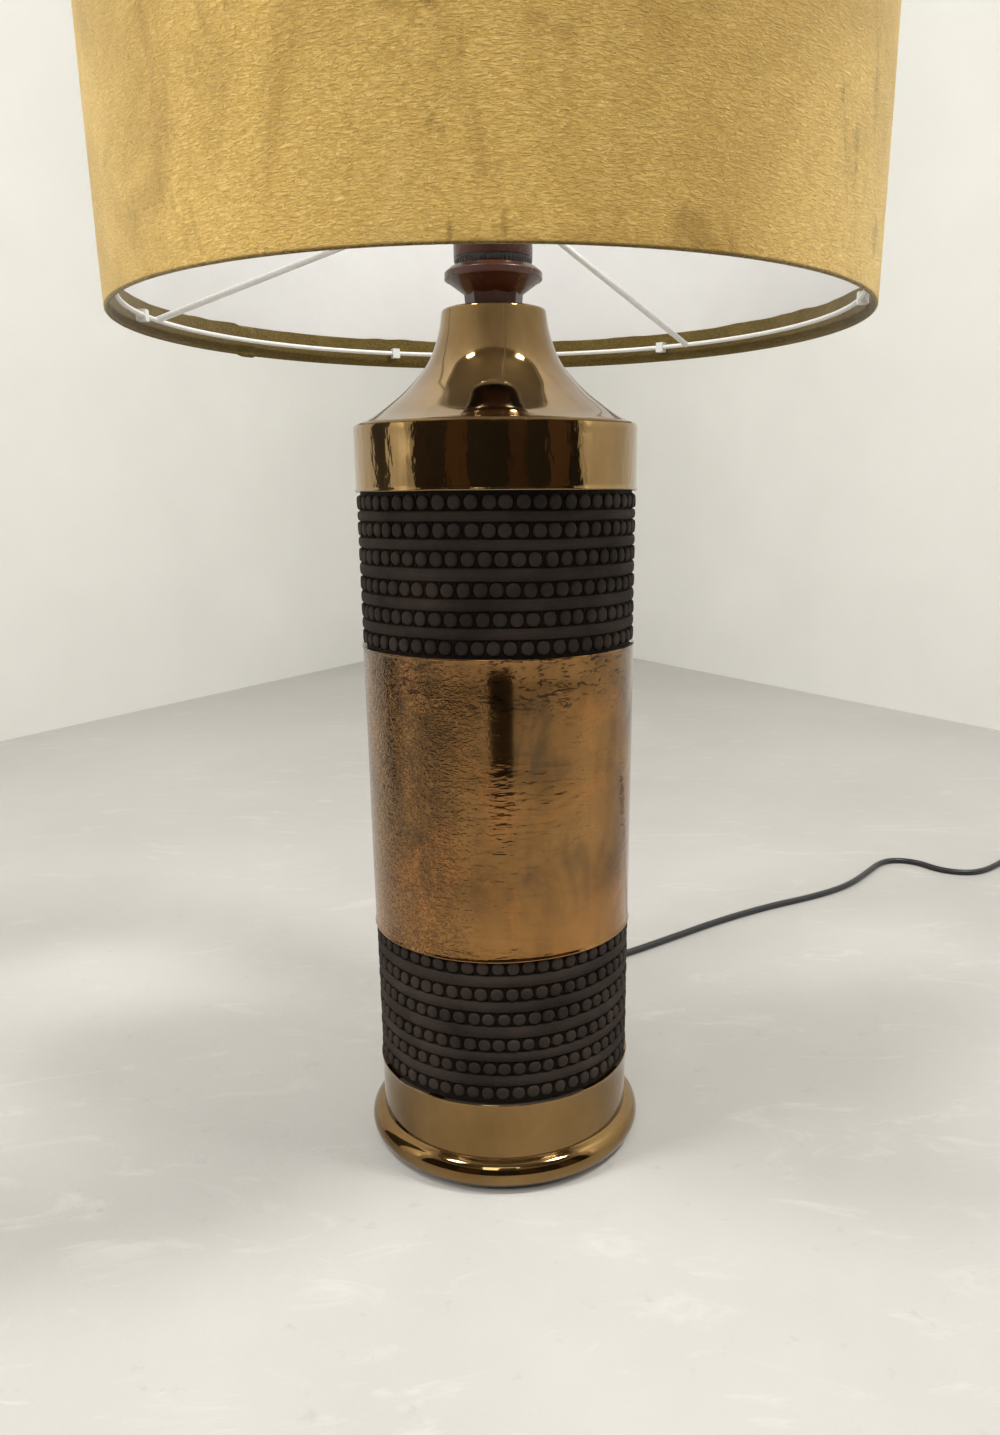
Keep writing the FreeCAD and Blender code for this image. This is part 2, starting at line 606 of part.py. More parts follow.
# ---- bulb ----------------------------------------------------------------------------------
def bulb_outline(inset):
    """Neck, flare and dome of the envelope as outline edges, moved in by inset."""
    ball_z = BULB_GLASS_Z + BULB_GLASS_H - BULB_R
    radius = BULB_R - inset
    neck = BULB_NECK_R - inset
    low = BULB_GLASS_Z
    flare = (ball_z - low) * BULB_NECK_SHARE
    flare_angle, arc_angle = (math.radians(angle) for angle in (BULB_FLARE_DEG, BULB_ARC_DEG))
    side = rz(radius * math.cos(flare_angle), ball_z + radius * math.sin(flare_angle))
    waist_r = neck + (side.x - neck) * BULB_WAIST_SHARE
    waist = curve([rz(neck, low + flare), rz(waist_r, low + 2 * flare), side])
    on_ball = rz(radius * math.cos(arc_angle), ball_z + radius * math.sin(arc_angle))
    return [line(rz(neck, low), rz(neck, low + flare)), waist, arc(side, on_ball, rz(0, ball_z + radius))]


def make_bulb():
    outer = bulb_outline(0)
    inner = bulb_outline(BULB_GLASS_T)
    top = BULB_GLASS_Z + BULB_GLASS_H
    solid = turned(outer + lines([rz(0, top), rz(0, BULB_GLASS_Z), rz(BULB_NECK_R, BULB_GLASS_Z)]))
    hollow = turned(inner + lines([rz(0, top - BULB_GLASS_T), rz(0, BULB_GLASS_Z),
                                   rz(BULB_NECK_R - BULB_GLASS_T, BULB_GLASS_Z)]))
    node("bulb_glass", solid.cut(hollow))
    node("bulb_contact", disc(BULB_CONTACT_R, BULB_Z, BULB_INSULATOR_Z))
    node("bulb_insulator", cone(BULB_CONTACT_R + BULB_INSULATOR_OUT, BULB_CAP_R - BULB_CAP_TURN_IN,
                                 BULB_INSULATOR_Z, BULB_CAP_Z))
    node("bulb_cap", disc(BULB_CAP_R, BULB_CAP_Z, BULB_GLASS_Z))
    stem_top = BULB_GLASS_Z + STEM_H
    half = FILAMENT_SPAN / 2
    filament_z = stem_top + FILAMENT_UP
    wires = [rod(vec(side * FILAMENT_FOOT, 0, stem_top), vec(side * half, 0, filament_z), FILAMENT_R)
             for side in (-1, 1)]
    wires.append(rod(vec(-half, 0, filament_z), vec(half, 0, filament_z), FILAMENT_R))
    filament = wires[0].fuse(wires[1:])
    node("bulb_filament", filament)
    node("bulb_stem", cone(STEM_FOOT_R, STEM_TIP_R, BULB_GLASS_Z, stem_top).cut(filament))


# ---- cord switch ---------------------------------------------------------------------------
def switch_screw(x, y):
    foot = vec(x, y, SCREW_SUNK)
    head = Part.makeCylinder(SCREW_HEAD_R, SCREW_HEAD_H, foot)
    return head.fuse(Part.makeCylinder(SCREW_R, SWITCH_H - SCREW_SHORT, foot))


def rounded_block(length, width, low, high, radius):
    shape = block((-length / 2, length / 2), (-width / 2, width / 2), (low, high))
    upright = [edge for edge in shape.Edges if abs(edge.BoundBox.ZLength - (high - low)) < TINY]
    return shape.makeFillet(radius, upright)


def make_switch():
    half_w = SWITCH_W / 2 - SWITCH_WALL
    cavity = rounded_block(SWITCH_L - 2 * SWITCH_WALL, 2 * half_w, SWITCH_WALL, SWITCH_H - SWITCH_WALL,
                           SWITCH_INNER_CORNER_R)
    shape = rounded_block(SWITCH_L, SWITCH_W, 0, SWITCH_H, SWITCH_CORNER_R)
    top_edges = [edge for edge in shape.Edges if edge.BoundBox.ZMin > SWITCH_H - TINY]
    shape = shape.makeFillet(SWITCH_EDGE_R, top_edges)
    post_x, post_y = SWITCH_L / 2 - POST_FROM_END, half_w - POST_FROM_WALL
    corners = [(post_x, post_y), (-post_x, -post_y)]
    post_h = SWITCH_H - 2 * POST_IN_FLOOR
    posts = [Part.makeCylinder(POST_R, post_h, vec(x, y, POST_IN_FLOOR)) for x, y in corners]
    screws = [switch_screw(x, y) for x, y in corners]
    housing = shape.cut(cavity.cut(Part.makeCompound(posts))).cut(Part.makeCompound(screws))
    pin_half = half_w + PIN_IN_WALL
    pin = Part.makeCylinder(PIN_R, 2 * pin_half, vec(0, -pin_half, PIVOT_Z), vec(0, 1, 0))
    window_x = ROCKER_L / 2 + ROCKER_END_GAP
    window_y = ROCKER_W / 2 + ROCKER_GAP
    window = block((-window_x, window_x), (-window_y, window_y), (SWITCH_SPLIT_Z, SWITCH_H + OVERCUT))
    lower_half = block((-SWITCH_L, SWITCH_L), (-SWITCH_W, SWITCH_W), (-OVERCUT, SWITCH_SPLIT_Z))
    cover = housing.cut(lower_half).cut(window).cut(pin)
    parts = {"switch_base": housing.common(lower_half), "switch_cover": cover, "rocker_pin": pin,
             "switch_screws": Part.makeCompound(screws), "switch_rocker": rocker()}
    contacts = [contact(x, CONTACT_SIZE) for x in (-CONTACT_X, CONTACT_X)] + [contact(0, BRIDGE_SIZE)]
    parts["switch_contacts"] = Part.makeCompound(contacts)
    reliefs = []
    for side in (-1, 1):
        root = vec(side * SWITCH_L / 2, 0, SWITCH_CORD_Z)
        reliefs.append(Part.makeCone(RELIEF_ROOT_R, RELIEF_TIP_R, SWITCH_RELIEF, root, vec(side, 0, 0)))
    parts["switch_reliefs"] = Part.makeCompound(reliefs)
    for name, shape in parts.items():
        node(name, placed(shape, SWITCH_CENTRE, SWITCH_TURN))


def contact(x, size):
    """Metal strip on the floor of the switch; the size's last number is the height of its top."""
    half_x, half_y = size[0] / 2, size[1] / 2
    return block((x - half_x, x + half_x), (-half_y, half_y), (SWITCH_WALL, size[2]))


def rocker():
    """Rocker on its pin, tipped to its off side."""
    end, skirt = ROCKER_L / 2, ROCKER_L / 2 - ROCKER_DRAFT
    outline = [(-end, ROCKER_TIP_Z), (0, ROCKER_DIP_Z), (end, ROCKER_TIP_Z), (skirt, ROCKER_SKIRT_Z),
               (ROCKER_KEEL_HALF, ROCKER_KEEL_Z), (-ROCKER_KEEL_HALF, ROCKER_KEEL_Z), (-skirt, ROCKER_SKIRT_Z)]
    points = [vec(x, -ROCKER_W / 2, PIVOT_Z + z) for x, z in outline]
    shape = Part.Face(Part.makePolygon(points + points[:1])).extrude(vec(0, ROCKER_W, 0))
    bore = Part.makeCylinder(PIN_R + FIT, 2 * ROCKER_W, vec(0, -ROCKER_W, PIVOT_Z), vec(0, 1, 0))
    shape = shape.cut(bore)
    shape.rotate(vec(0, 0, PIVOT_Z), vec(0, 1, 0), -ROCKER_TILT)
    return shape


# ---- plug ----------------------------------------------------------------------------------
def make_plug():
    start = PLUG_RELIEF
    end = start + PLUG_L
    half = PLUG_W / 2
    root = PLUG_ROOT_W / 2
    neck_x, neck_y = start + PLUG_TAPER_L, root + PLUG_TAPER_W
    wide_x = end - PLUG_TAPER_L
    outline = [(start, -root), (neck_x, -neck_y), (wide_x, -half), (end, -half),
               (end, half), (wide_x, half), (neck_x, neck_y), (start, root)]
    body = prism(outline, 0, PLUG_T)
    flat = [edge for edge in body.Edges if edge.BoundBox.ZLength < TINY]
    body = body.makeFillet(PLUG_EDGE_R, flat)
    relief = Part.makeCone(RELIEF_TIP_R, RELIEF_ROOT_R, PLUG_RELIEF, vec(0, 0, PLUG_CORD_Z), vec(1, 0, 0))
    sleeves = []
    pins = []
    for side in (-1, 1):
        foot = vec(end, side * PLUG_PIN_SPACING / 2, PLUG_CORD_Z)
        core = Part.makeCylinder(PLUG_CORE_R, PLUG_SLEEVE_L, foot, vec(1, 0, 0))
        sleeves.append(Part.makeCylinder(PLUG_PIN_R, PLUG_SLEEVE_L, foot, vec(1, 0, 0)).cut(core))
        nose_foot = foot + vec(PLUG_SLEEVE_L, 0, 0)
        nose = Part.makeCylinder(PLUG_PIN_R, PLUG_PIN_L - PLUG_SLEEVE_L, nose_foot, vec(1, 0, 0))
        tip_edges = [edge for edge in nose.Edges if edge.BoundBox.XMin > end + PLUG_PIN_L - OVERCUT]
        pins.append(core.fuse(nose.makeFillet(PIN_ROUNDING, tip_edges)))
    parts = {"plug_body": body, "plug_relief": relief, "pin_sleeves": Part.makeCompound(sleeves),
             "plug_pins": Part.makeCompound(pins)}
    for name, shape in parts.items():
        node(name, placed(shape, PLUG_TIP, PLUG_TURN))


def main():
    os.makedirs("parts", exist_ok=True)
    make_base()
    make_gland()
    make_holder()
    node("lower_shade_ring", shade_ring(SHELL_STEP_Z, FITTER_Z, 0))
    node("upper_shade_ring", shade_ring(FITTER_TOP_Z, FITTER_TOP_Z + TOP_RING_H, THREAD_GAP))
    make_shade()
    make_bulb()
    make_cords()
    make_coil()
    make_switch()
    make_plug()
    for name, shape in NODES.items():
        if not shape.isValid():
            print("not valid:", name)
        shape.exportStep("parts/%s.step" % name)
    print(len(NODES), "nodes")


main()
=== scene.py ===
import json
import math
import random

import bpy
from mathutils import Matrix, Vector, noise


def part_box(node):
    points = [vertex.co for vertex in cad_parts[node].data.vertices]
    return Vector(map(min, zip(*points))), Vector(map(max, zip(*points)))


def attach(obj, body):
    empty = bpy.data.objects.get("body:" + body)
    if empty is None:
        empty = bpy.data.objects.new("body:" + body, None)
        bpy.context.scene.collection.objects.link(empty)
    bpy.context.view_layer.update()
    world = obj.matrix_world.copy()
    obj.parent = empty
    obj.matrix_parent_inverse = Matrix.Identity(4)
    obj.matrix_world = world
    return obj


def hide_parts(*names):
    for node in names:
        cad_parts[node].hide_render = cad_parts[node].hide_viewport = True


# Looks of the ceramic table lamp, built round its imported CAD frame. Metres, +Z up.
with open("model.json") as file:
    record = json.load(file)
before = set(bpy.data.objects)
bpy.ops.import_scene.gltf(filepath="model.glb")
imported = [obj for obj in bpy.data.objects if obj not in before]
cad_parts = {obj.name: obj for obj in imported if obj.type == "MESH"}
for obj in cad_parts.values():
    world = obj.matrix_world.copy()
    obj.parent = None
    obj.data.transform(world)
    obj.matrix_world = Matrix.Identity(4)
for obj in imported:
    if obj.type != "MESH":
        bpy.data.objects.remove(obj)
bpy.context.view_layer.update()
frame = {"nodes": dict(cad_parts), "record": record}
MM = 0.001
RIM_Z, SHADE_TOP = (corner.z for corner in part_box("shade_fabric"))


# ---- camera --------------------------------------------------------------------------------
SENSOR = 36.0
LENS = 27.04
EYE = (0.0, -0.638, 0.397)
YAW, PITCH, ROLL = (math.radians(a) for a in (1.24, -16.0, -0.48))
SHIFT = (-0.0163, 0.0630)


def make_camera():
    data = bpy.data.cameras.new("camera")
    data.lens = LENS
    data.sensor_width = SENSOR
    data.shift_x, data.shift_y = SHIFT
    data.clip_start = 0.01
    camera = bpy.data.objects.new("camera", data)
    bpy.context.scene.collection.objects.link(camera)
    forward = Vector((math.sin(YAW) * math.cos(PITCH), math.cos(YAW) * math.cos(PITCH), math.sin(PITCH)))
    level = Vector((math.cos(YAW), -math.sin(YAW), 0))
    upright = level.cross(forward)
    right = level * math.cos(ROLL) + upright * math.sin(ROLL)
    up = upright * math.cos(ROLL) - level * math.sin(ROLL)
    turn = Matrix((right, up, -forward)).transposed().to_4x4()
    camera.matrix_world = Matrix.Translation(EYE) @ turn
    bpy.context.scene.camera = camera


# ---- mesh helpers --------------------------------------------------------------------------
def new_object(name, points, faces, smooth_angle=35):
    mesh = bpy.data.meshes.new(name)
    mesh.from_pydata(points, [], faces)
    mesh.validate()
    mesh.shade_smooth()
    mesh.set_sharp_from_angle(angle=math.radians(smooth_angle))
    made = bpy.data.objects.new(name, mesh)
    bpy.context.scene.collection.objects.link(made)
    return made


def turned(outline, segments, shape=None):
    """Points and faces of a closed outline of (r, z) turned about Z. shape may move a point."""
    points = []
    for r, z in outline:
        for k in range(segments):
            angle = 2 * math.pi * k / segments
            radius, height = shape(r, z, angle) if shape else (r, z)
            points.append((radius * math.cos(angle), radius * math.sin(angle), height))
    faces = []
    rows = len(outline)
    for i in range(rows):
        low, high = i * segments, (i + 1) % rows * segments
        for k in range(segments):
            nxt = (k + 1) % segments
            faces.append((low + k, low + nxt, high + nxt, high + k))
    return points, faces


def arc_points(centre, radius, start, end, steps):
    """Points of an arc in the (r, z) plane, angles in degrees."""
    made = []
    for k in range(steps + 1):
        angle = math.radians(start + (end - start) * k / steps)
        made.append((centre[0] + radius * math.cos(angle), centre[1] + radius * math.sin(angle)))
    return made


def smooth_curve(points, steps):
    """Catmull-Rom points through a few (r, z) points."""
    ends = [points[0]] + list(points) + [points[-1]]
    made = []
    for p0, p1, p2, p3 in zip(ends, ends[1:], ends[2:], ends[3:]):
        for k in range(steps):
            t = k / steps
            made.append(tuple(0.5 * (2 * b + (c - a) * t + (2 * a - 5 * b + 4 * c - d) * t * t
                                     + (3 * b - a - 3 * c + d) * t ** 3)
                              for a, b, c, d in zip(p0, p1, p2, p3)))
    return made + [points[-1]]


def wobble(seed, *place):
    return noise.noise(Vector(place) + Vector((seed * 7.3, seed * 3.1, seed * 1.7)))


def finish_piece(piece, body, slot, materials, *stands_for):
    for material in materials:
        piece.data.materials.append(material)
    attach(piece, body)
    if stands_for:
        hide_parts(*stands_for)
    return piece


# ---- material helpers ----------------------------------------------------------------------
class Shader:
    """A material whose nodes are added one by one."""

    def __init__(self, name, **sockets):
        self.material = bpy.data.materials.new(name)
        self.material.use_nodes = True
        self.nodes = self.material.node_tree.nodes
        self.links = self.material.node_tree.links
        self.base = self.nodes["Principled BSDF"]
        self.place = self.nodes.new("ShaderNodeTexCoord").outputs["Object"]
        for socket, value in sockets.items():
            self.base.inputs[socket.replace("_", " ")].default_value = value

    def link(self, source, node, socket):
        self.links.new(source, node.inputs[socket])

    def scaled(self, x, y, z):
        node = self.nodes.new("ShaderNodeMapping")
        node.inputs["Scale"].default_value = (x, y, z)
        self.link(self.place, node, "Vector")
        return node.outputs["Vector"]

    def noise(self, scale, detail=4.0, rough=0.55, place=None, distortion=0.0):
        node = self.nodes.new("ShaderNodeTexNoise")
        node.inputs["Scale"].default_value = scale
        node.inputs["Detail"].default_value = detail
        node.inputs["Roughness"].default_value = rough
        node.inputs["Distortion"].default_value = distortion
        self.link(place or self.place, node, "Vector")
        return node.outputs["Fac"]

    def ramp(self, source, *stops):
        """stops are (position, value or colour)."""
        node = self.nodes.new("ShaderNodeValToRGB")
        elements = node.color_ramp.elements
        while len(elements) < len(stops):
            elements.new(0.5)
        for element, (position, value) in zip(elements, stops):
            element.position = position
            colour = value if isinstance(value, tuple) else (value,) * 3
            element.color = (*colour, 1.0)
        self.link(source, node, "Fac")
        return node.outputs["Color"]

    def mix(self, share, first, second, mode="MIX"):
        node = self.nodes.new("ShaderNodeMix")
        node.data_type = "RGBA"
        node.blend_type = mode
        for socket, value in ((0, share), (6, first), (7, second)):
            if isinstance(value, (int, float)):
                node.inputs[socket].default_value = value
            elif isinstance(value, tuple):
                node.inputs[socket].default_value = (*value, 1.0)
            else:
                self.links.new(value, node.inputs[socket])
        return node.outputs[2]

    def maths(self, how, first, second):
        node = self.nodes.new("ShaderNodeMath")
        node.operation = how
        for socket, value in enumerate((first, second)):
            if isinstance(value, (int, float)):
                node.inputs[socket].default_value = value
            else:
                self.links.new(value, node.inputs[socket])
        return node.outputs[0]

    def axis(self, which):
        node = self.nodes.new("ShaderNodeSeparateXYZ")
        self.link(self.place, node, "Vector")
        return node.outputs[which]

    def between(self, source, low, high):
        """0 at low to 1 at high, smoothly."""
        node = self.nodes.new("ShaderNodeMapRange")
        node.interpolation_type = "SMOOTHSTEP"
        node.inputs["From Min"].default_value = low
        node.inputs["From Max"].default_value = high
        self.link(source, node, "Value")
        return node.outputs["Result"]

    def colour(self, source):
        self.link(source, self.base, "Base Color")

    def roughness(self, source):
        self.link(source, self.base, "Roughness")

    def bump(self, *layers):
        """layers are (height, distance in metres)."""
        before = None
        for height, distance in layers:
            node = self.nodes.new("ShaderNodeBump")
            node.inputs["Distance"].default_value = distance
            self.link(height, node, "Height")
            if before:
                self.link(before, node, "Normal")
            before = node.outputs["Normal"]
        self.link(before, self.base, "Normal")


def glaze():
    """Bronze mirror glaze: mottled, with worm-like dimples on the left of its middle zone, painted dark as
    painted reflection.
    """
    made = Shader("bronze_glaze", Metallic=1.0, Coat_Weight=0.15, Coat_Roughness=0.05)
    z = made.axis("Z")
    middle_zone = made.maths("MULTIPLY", made.between(z, 0.3185, 0.3165), made.between(z, 0.140, 0.150))
    body = made.between(z, 0.437, 0.431)
    left = made.between(made.axis("X"), 0.006, -0.050)
    top = made.between(z, 0.268, 0.302)
    low = made.between(z, 0.20, 0.16)
    patches = made.noise(19, 5, 0.62, made.scaled(1, 1, 0.8))
    clouds = made.noise(30, 5, 0.62, made.scaled(1, 1, 0.6), 0.6)
    streaks = made.noise(75, 4, 0.6, made.scaled(1, 1, 0.12))
    fine = made.noise(430, 2, 0.5, made.scaled(0.8, 0.8, 1.25), 1.1)
    worms = made.ramp(fine, (0.37, 0.0), (0.43, 1.0), (0.48, 1.0), (0.54, 0.0))
    upper = made.ramp(patches, (0.30, (0.245, 0.150, 0.060)), (0.70, (0.335, 0.222, 0.094)))
    middle = made.ramp(patches, (0.33, (0.155, 0.082, 0.030)), (0.50, (0.275, 0.145, 0.048)),
                       (0.68, (0.37, 0.20, 0.068)))
    middle = made.mix(made.ramp(clouds, (0.54, 0.0), (0.68, 0.7)), middle, (0.44, 0.19, 0.058))
    middle = made.mix(made.ramp(clouds, (0.30, 0.75), (0.43, 0.0)), middle, (0.125, 0.082, 0.045))
    middle = made.mix(made.maths("MULTIPLY", low, 0.45), middle, (0.46, 0.225, 0.070))
    tone = made.mix(middle_zone, upper, middle)
    tone = made.mix(made.ramp(streaks, (0.52, 0.0), (0.74, 0.35)), tone, (0.165, 0.088, 0.034))
    spread = made.maths("MAXIMUM", left, made.ramp(patches, (0.54, 0.0), (0.68, 0.4)))
    dimpled = made.maths("MULTIPLY", middle_zone, spread)
    # painted reflection: the dimples' dark marks are painted into the colour, on top of their bump
    painted_dimple_reflection = made.maths("MULTIPLY", worms, dimpled)
    tone = made.mix(made.maths("MULTIPLY", painted_dimple_reflection, 0.6), tone, (0.045, 0.034, 0.026))
    # painted reflection: ragged dark patches near the top of the middle zone, the reflection of a dark thing
    # painted into the colour
    painted_dark_reflection = made.noise(210, 3, 0.62, made.scaled(0.6, 0.6, 1.7), 0.8)
    where = made.ramp(made.noise(22, 2), (0.42, 0.0), (0.52, 1.0))
    painted_dark_reflection = made.maths("MULTIPLY", made.ramp(painted_dark_reflection, (0.545, 0.0), (0.60, 1.0)), where)
    painted_dark_reflection = made.maths("MULTIPLY", painted_dark_reflection, made.maths("MULTIPLY", top, middle_zone))
    tone = made.mix(made.maths("MULTIPLY", painted_dark_reflection, 0.85), tone, (0.035, 0.020, 0.014))
    foot = made.between(z, 0.058, 0.054)
    foot_tone = made.ramp(patches, (0.30, (0.185, 0.105, 0.036)), (0.70, (0.265, 0.165, 0.062)))
    tone = made.mix(foot, tone, foot_tone)
    made.colour(tone)
    rough = made.ramp(patches, (0.3, 0.05), (0.75, 0.11))
    made.roughness(made.mix(made.maths("MULTIPLY", middle_zone, 0.6), rough, (0.15, 0.15, 0.15)))
    wave = made.maths("MULTIPLY", made.noise(42, 2, 0.5, made.scaled(1, 1, 0.3)), body)
    peel = made.maths("MULTIPLY", fine, dimpled)
    broken = made.maths("MULTIPLY", made.between(z, 0.275, 0.245), middle_zone)
    ripple = made.maths("MULTIPLY", made.noise(150, 2, 0.5, made.scaled(0.6, 0.6, 1.8)), broken)
    shoulder = made.maths("MULTIPLY", made.between(z, 0.400, 0.404), body)
    drips = made.maths("MULTIPLY", made.noise(95, 3, 0.55, made.scaled(1, 1, 0.5)), shoulder)
    made.bump((wave, 0.00022), (peel, 0.0006), (ripple, 0.0004), (drips, 0.0005))
    return made.material


def clay():
    """Unglazed, nearly black brown clay."""
    made = Shader("raw_clay", Roughness=0.8, Specular_IOR_Level=0.15)
    broad = made.noise(30, 4)
    fine = made.noise(700, 4, 0.65)
    tone = made.ramp(broad, (0.35, (0.0155, 0.0110, 0.0085)), (0.65, (0.031, 0.0225, 0.0175)))
    tone = made.mix(made.ramp(fine, (0.58, 0.0), (0.75, 0.5)), tone, (0.056, 0.041, 0.032))
    # painted shade: the clay is darkened where it lies deeper than the rails' crowns, towards the channel
    # floors between buttons and rails
    out_x, out_y = (made.maths("POWER", made.maths("ABSOLUTE", made.axis(a), 0), 2) for a in ("X", "Y"))
    radius = made.maths("SQRT", made.maths("ADD", out_x, out_y), 0)
    depth = made.between(radius, 0.07835, 0.0772)
    tone = made.mix(made.maths("MULTIPLY", depth, 0.72), tone, (0.0035, 0.0028, 0.0024))
    made.colour(tone)
    made.roughness(made.ramp(fine, (0.3, 0.68), (0.7, 0.88)))
    made.bump((fine, 0.00025), (made.noise(160, 3), 0.0003))
    return made.material


def velvet():
    """Mustard velvet: short crinkled nap, soft crushed clouds and a few darker strokes."""
    made = Shader("mustard_velvet", Roughness=0.9, Sheen_Weight=1.0, Sheen_Roughness=0.34,
                  Specular_IOR_Level=0.12)
    made.base.inputs["Sheen Tint"].default_value = (1.0, 0.86, 0.54, 1.0)
    crush = made.noise(6.5, 5, 0.58, made.scaled(1, 1, 0.9), 0.8)
    blotch = made.noise(15, 5, 0.62, made.scaled(1, 1, 0.7), 1.2)
    strokes = made.noise(30, 5, 0.62, made.scaled(1.0, 1.0, 0.4), 0.7)
    crinkle = made.noise(760, 3, 0.6, made.scaled(0.42, 0.42, 1.5), 0.9)
    nap = made.noise(2600, 2, 0.6)
    # painted shading: the crinkle's light and dark flecks follow the same noise as its bump
    tone = made.ramp(crinkle, (0.34, (0.50, 0.315, 0.078)), (0.50, (0.62, 0.405, 0.112)),
                     (0.66, (0.76, 0.525, 0.175)))
    tone = made.mix(made.ramp(crush, (0.48, 0.0), (0.60, 0.6)), tone, (0.37, 0.215, 0.045))
    tone = made.mix(made.ramp(blotch, (0.53, 0.0), (0.64, 0.55)), tone, (0.30, 0.170, 0.034))
    tone = made.mix(made.ramp(strokes, (0.61, 0.0), (0.68, 0.65)), tone, (0.20, 0.112, 0.022))
    tone = made.mix(made.ramp(crush, (0.28, 0.4), (0.42, 0.0)), tone, (0.84, 0.61, 0.26))
    # painted shade: a dark line along the lower rim, under the rolled edge
    rim_gap = made.maths("SUBTRACT", made.axis("Z"), RIM_Z)
    tone = made.mix(made.between(rim_gap, 0.0016, 0.0002), tone, (0.11, 0.065, 0.018))
    made.colour(tone)
    made.bump((crinkle, 0.0012), (nap, 0.0003), (made.noise(45, 3), 0.0010))
    return made.material


def painted_shade_hem_velvet():
    """The nap seen from inside, with painted shade: darker and greener than the outer velvet."""
    made = Shader("painted_shade_hem_velvet", Roughness=0.95, Sheen_Weight=0.25, Specular_IOR_Level=0.1)
    nap = made.noise(900, 3, 0.6, made.scaled(0.5, 0.5, 1.2))
    # painted shade: the turned-in nap gets a far darker, greener tone than the same velvet outside
    tone = made.ramp(nap, (0.3, (0.095, 0.064, 0.013)), (0.7, (0.17, 0.118, 0.030)))
    tone = made.mix(made.ramp(made.noise(40, 4), (0.5, 0.0), (0.7, 0.5)), tone, (0.21, 0.15, 0.046))
    made.colour(tone)
    made.bump((nap, 0.0005))
    return made.material


def plain(name, dark, light, scale, depth, rough, **sockets):
    """A moulded or drawn surface: two close tones, a fine grain and a slightly uneven gloss."""
    made = Shader(name, **sockets)
    grain = made.noise(scale, 4, 0.6)
    made.colour(made.ramp(grain, (0.3, dark), (0.7, light)))
    made.roughness(made.ramp(made.noise(scale / 6, 3), (0.3, rough[0]), (0.7, rough[1])))
    made.bump((grain, depth))
    return made.material


def lining():
    made = Shader("white_lining", Roughness=0.5, Specular_IOR_Level=0.35)
    cloud = made.noise(9, 3)
    made.colour(made.ramp(cloud, (0.3, (0.70, 0.70, 0.695)), (0.7, (0.77, 0.77, 0.765))))
    made.roughness(made.ramp(made.noise(400, 3), (0.3, 0.42), (0.7, 0.6)))
    made.bump((made.noise(900, 2), 0.0001), (made.noise(30, 2), 0.0006))
    return made.material


def bulb_glass():
    made = Shader("bulb_glass", Roughness=0.03, IOR=1.45, Transmission_Weight=1.0)
    made.colour(made.ramp(made.noise(60, 2), (0.3, (0.97, 0.97, 0.96)), (0.7, (1.0, 1.0, 1.0))))
    made.bump((made.noise(40, 2), 0.0001))
    return made.material


def felt():
    made = Shader("felt", Roughness=0.97, Sheen_Weight=0.3, Specular_IOR_Level=0.1)
    fibres = made.noise(1500, 5, 0.75, made.scaled(1, 0.5, 1), 1.5)
    made.colour(made.ramp(fibres, (0.3, (0.035, 0.03, 0.024)), (0.7, (0.09, 0.08, 0.066))))
    made.bump((fibres, 0.0005))
    return made.material


def floor_paint():
    made = Shader("pale_floor", Roughness=0.5, Specular_IOR_Level=0.3)
    cloud = made.noise(2.2, 5, 0.6)
    scuffs = made.noise(9, 6, 0.7, made.scaled(1, 2.6, 1), 1.5)
    specks = made.noise(60, 3, 0.6)
    tone = made.ramp(cloud, (0.3, (0.345, 0.336, 0.318)), (0.7, (0.410, 0.401, 0.382)))
    tone = made.mix(made.ramp(scuffs, (0.56, 0.0), (0.72, 0.5)), tone, (0.50, 0.49, 0.47))
    tone = made.mix(made.ramp(specks, (0.64, 0.0), (0.76, 0.4)), tone, (0.29, 0.28, 0.262))
    made.colour(tone)
    made.roughness(made.ramp(cloud, (0.3, 0.34), (0.7, 0.52)))
    made.bump((made.noise(300, 3), 0.0002))
    return made.material


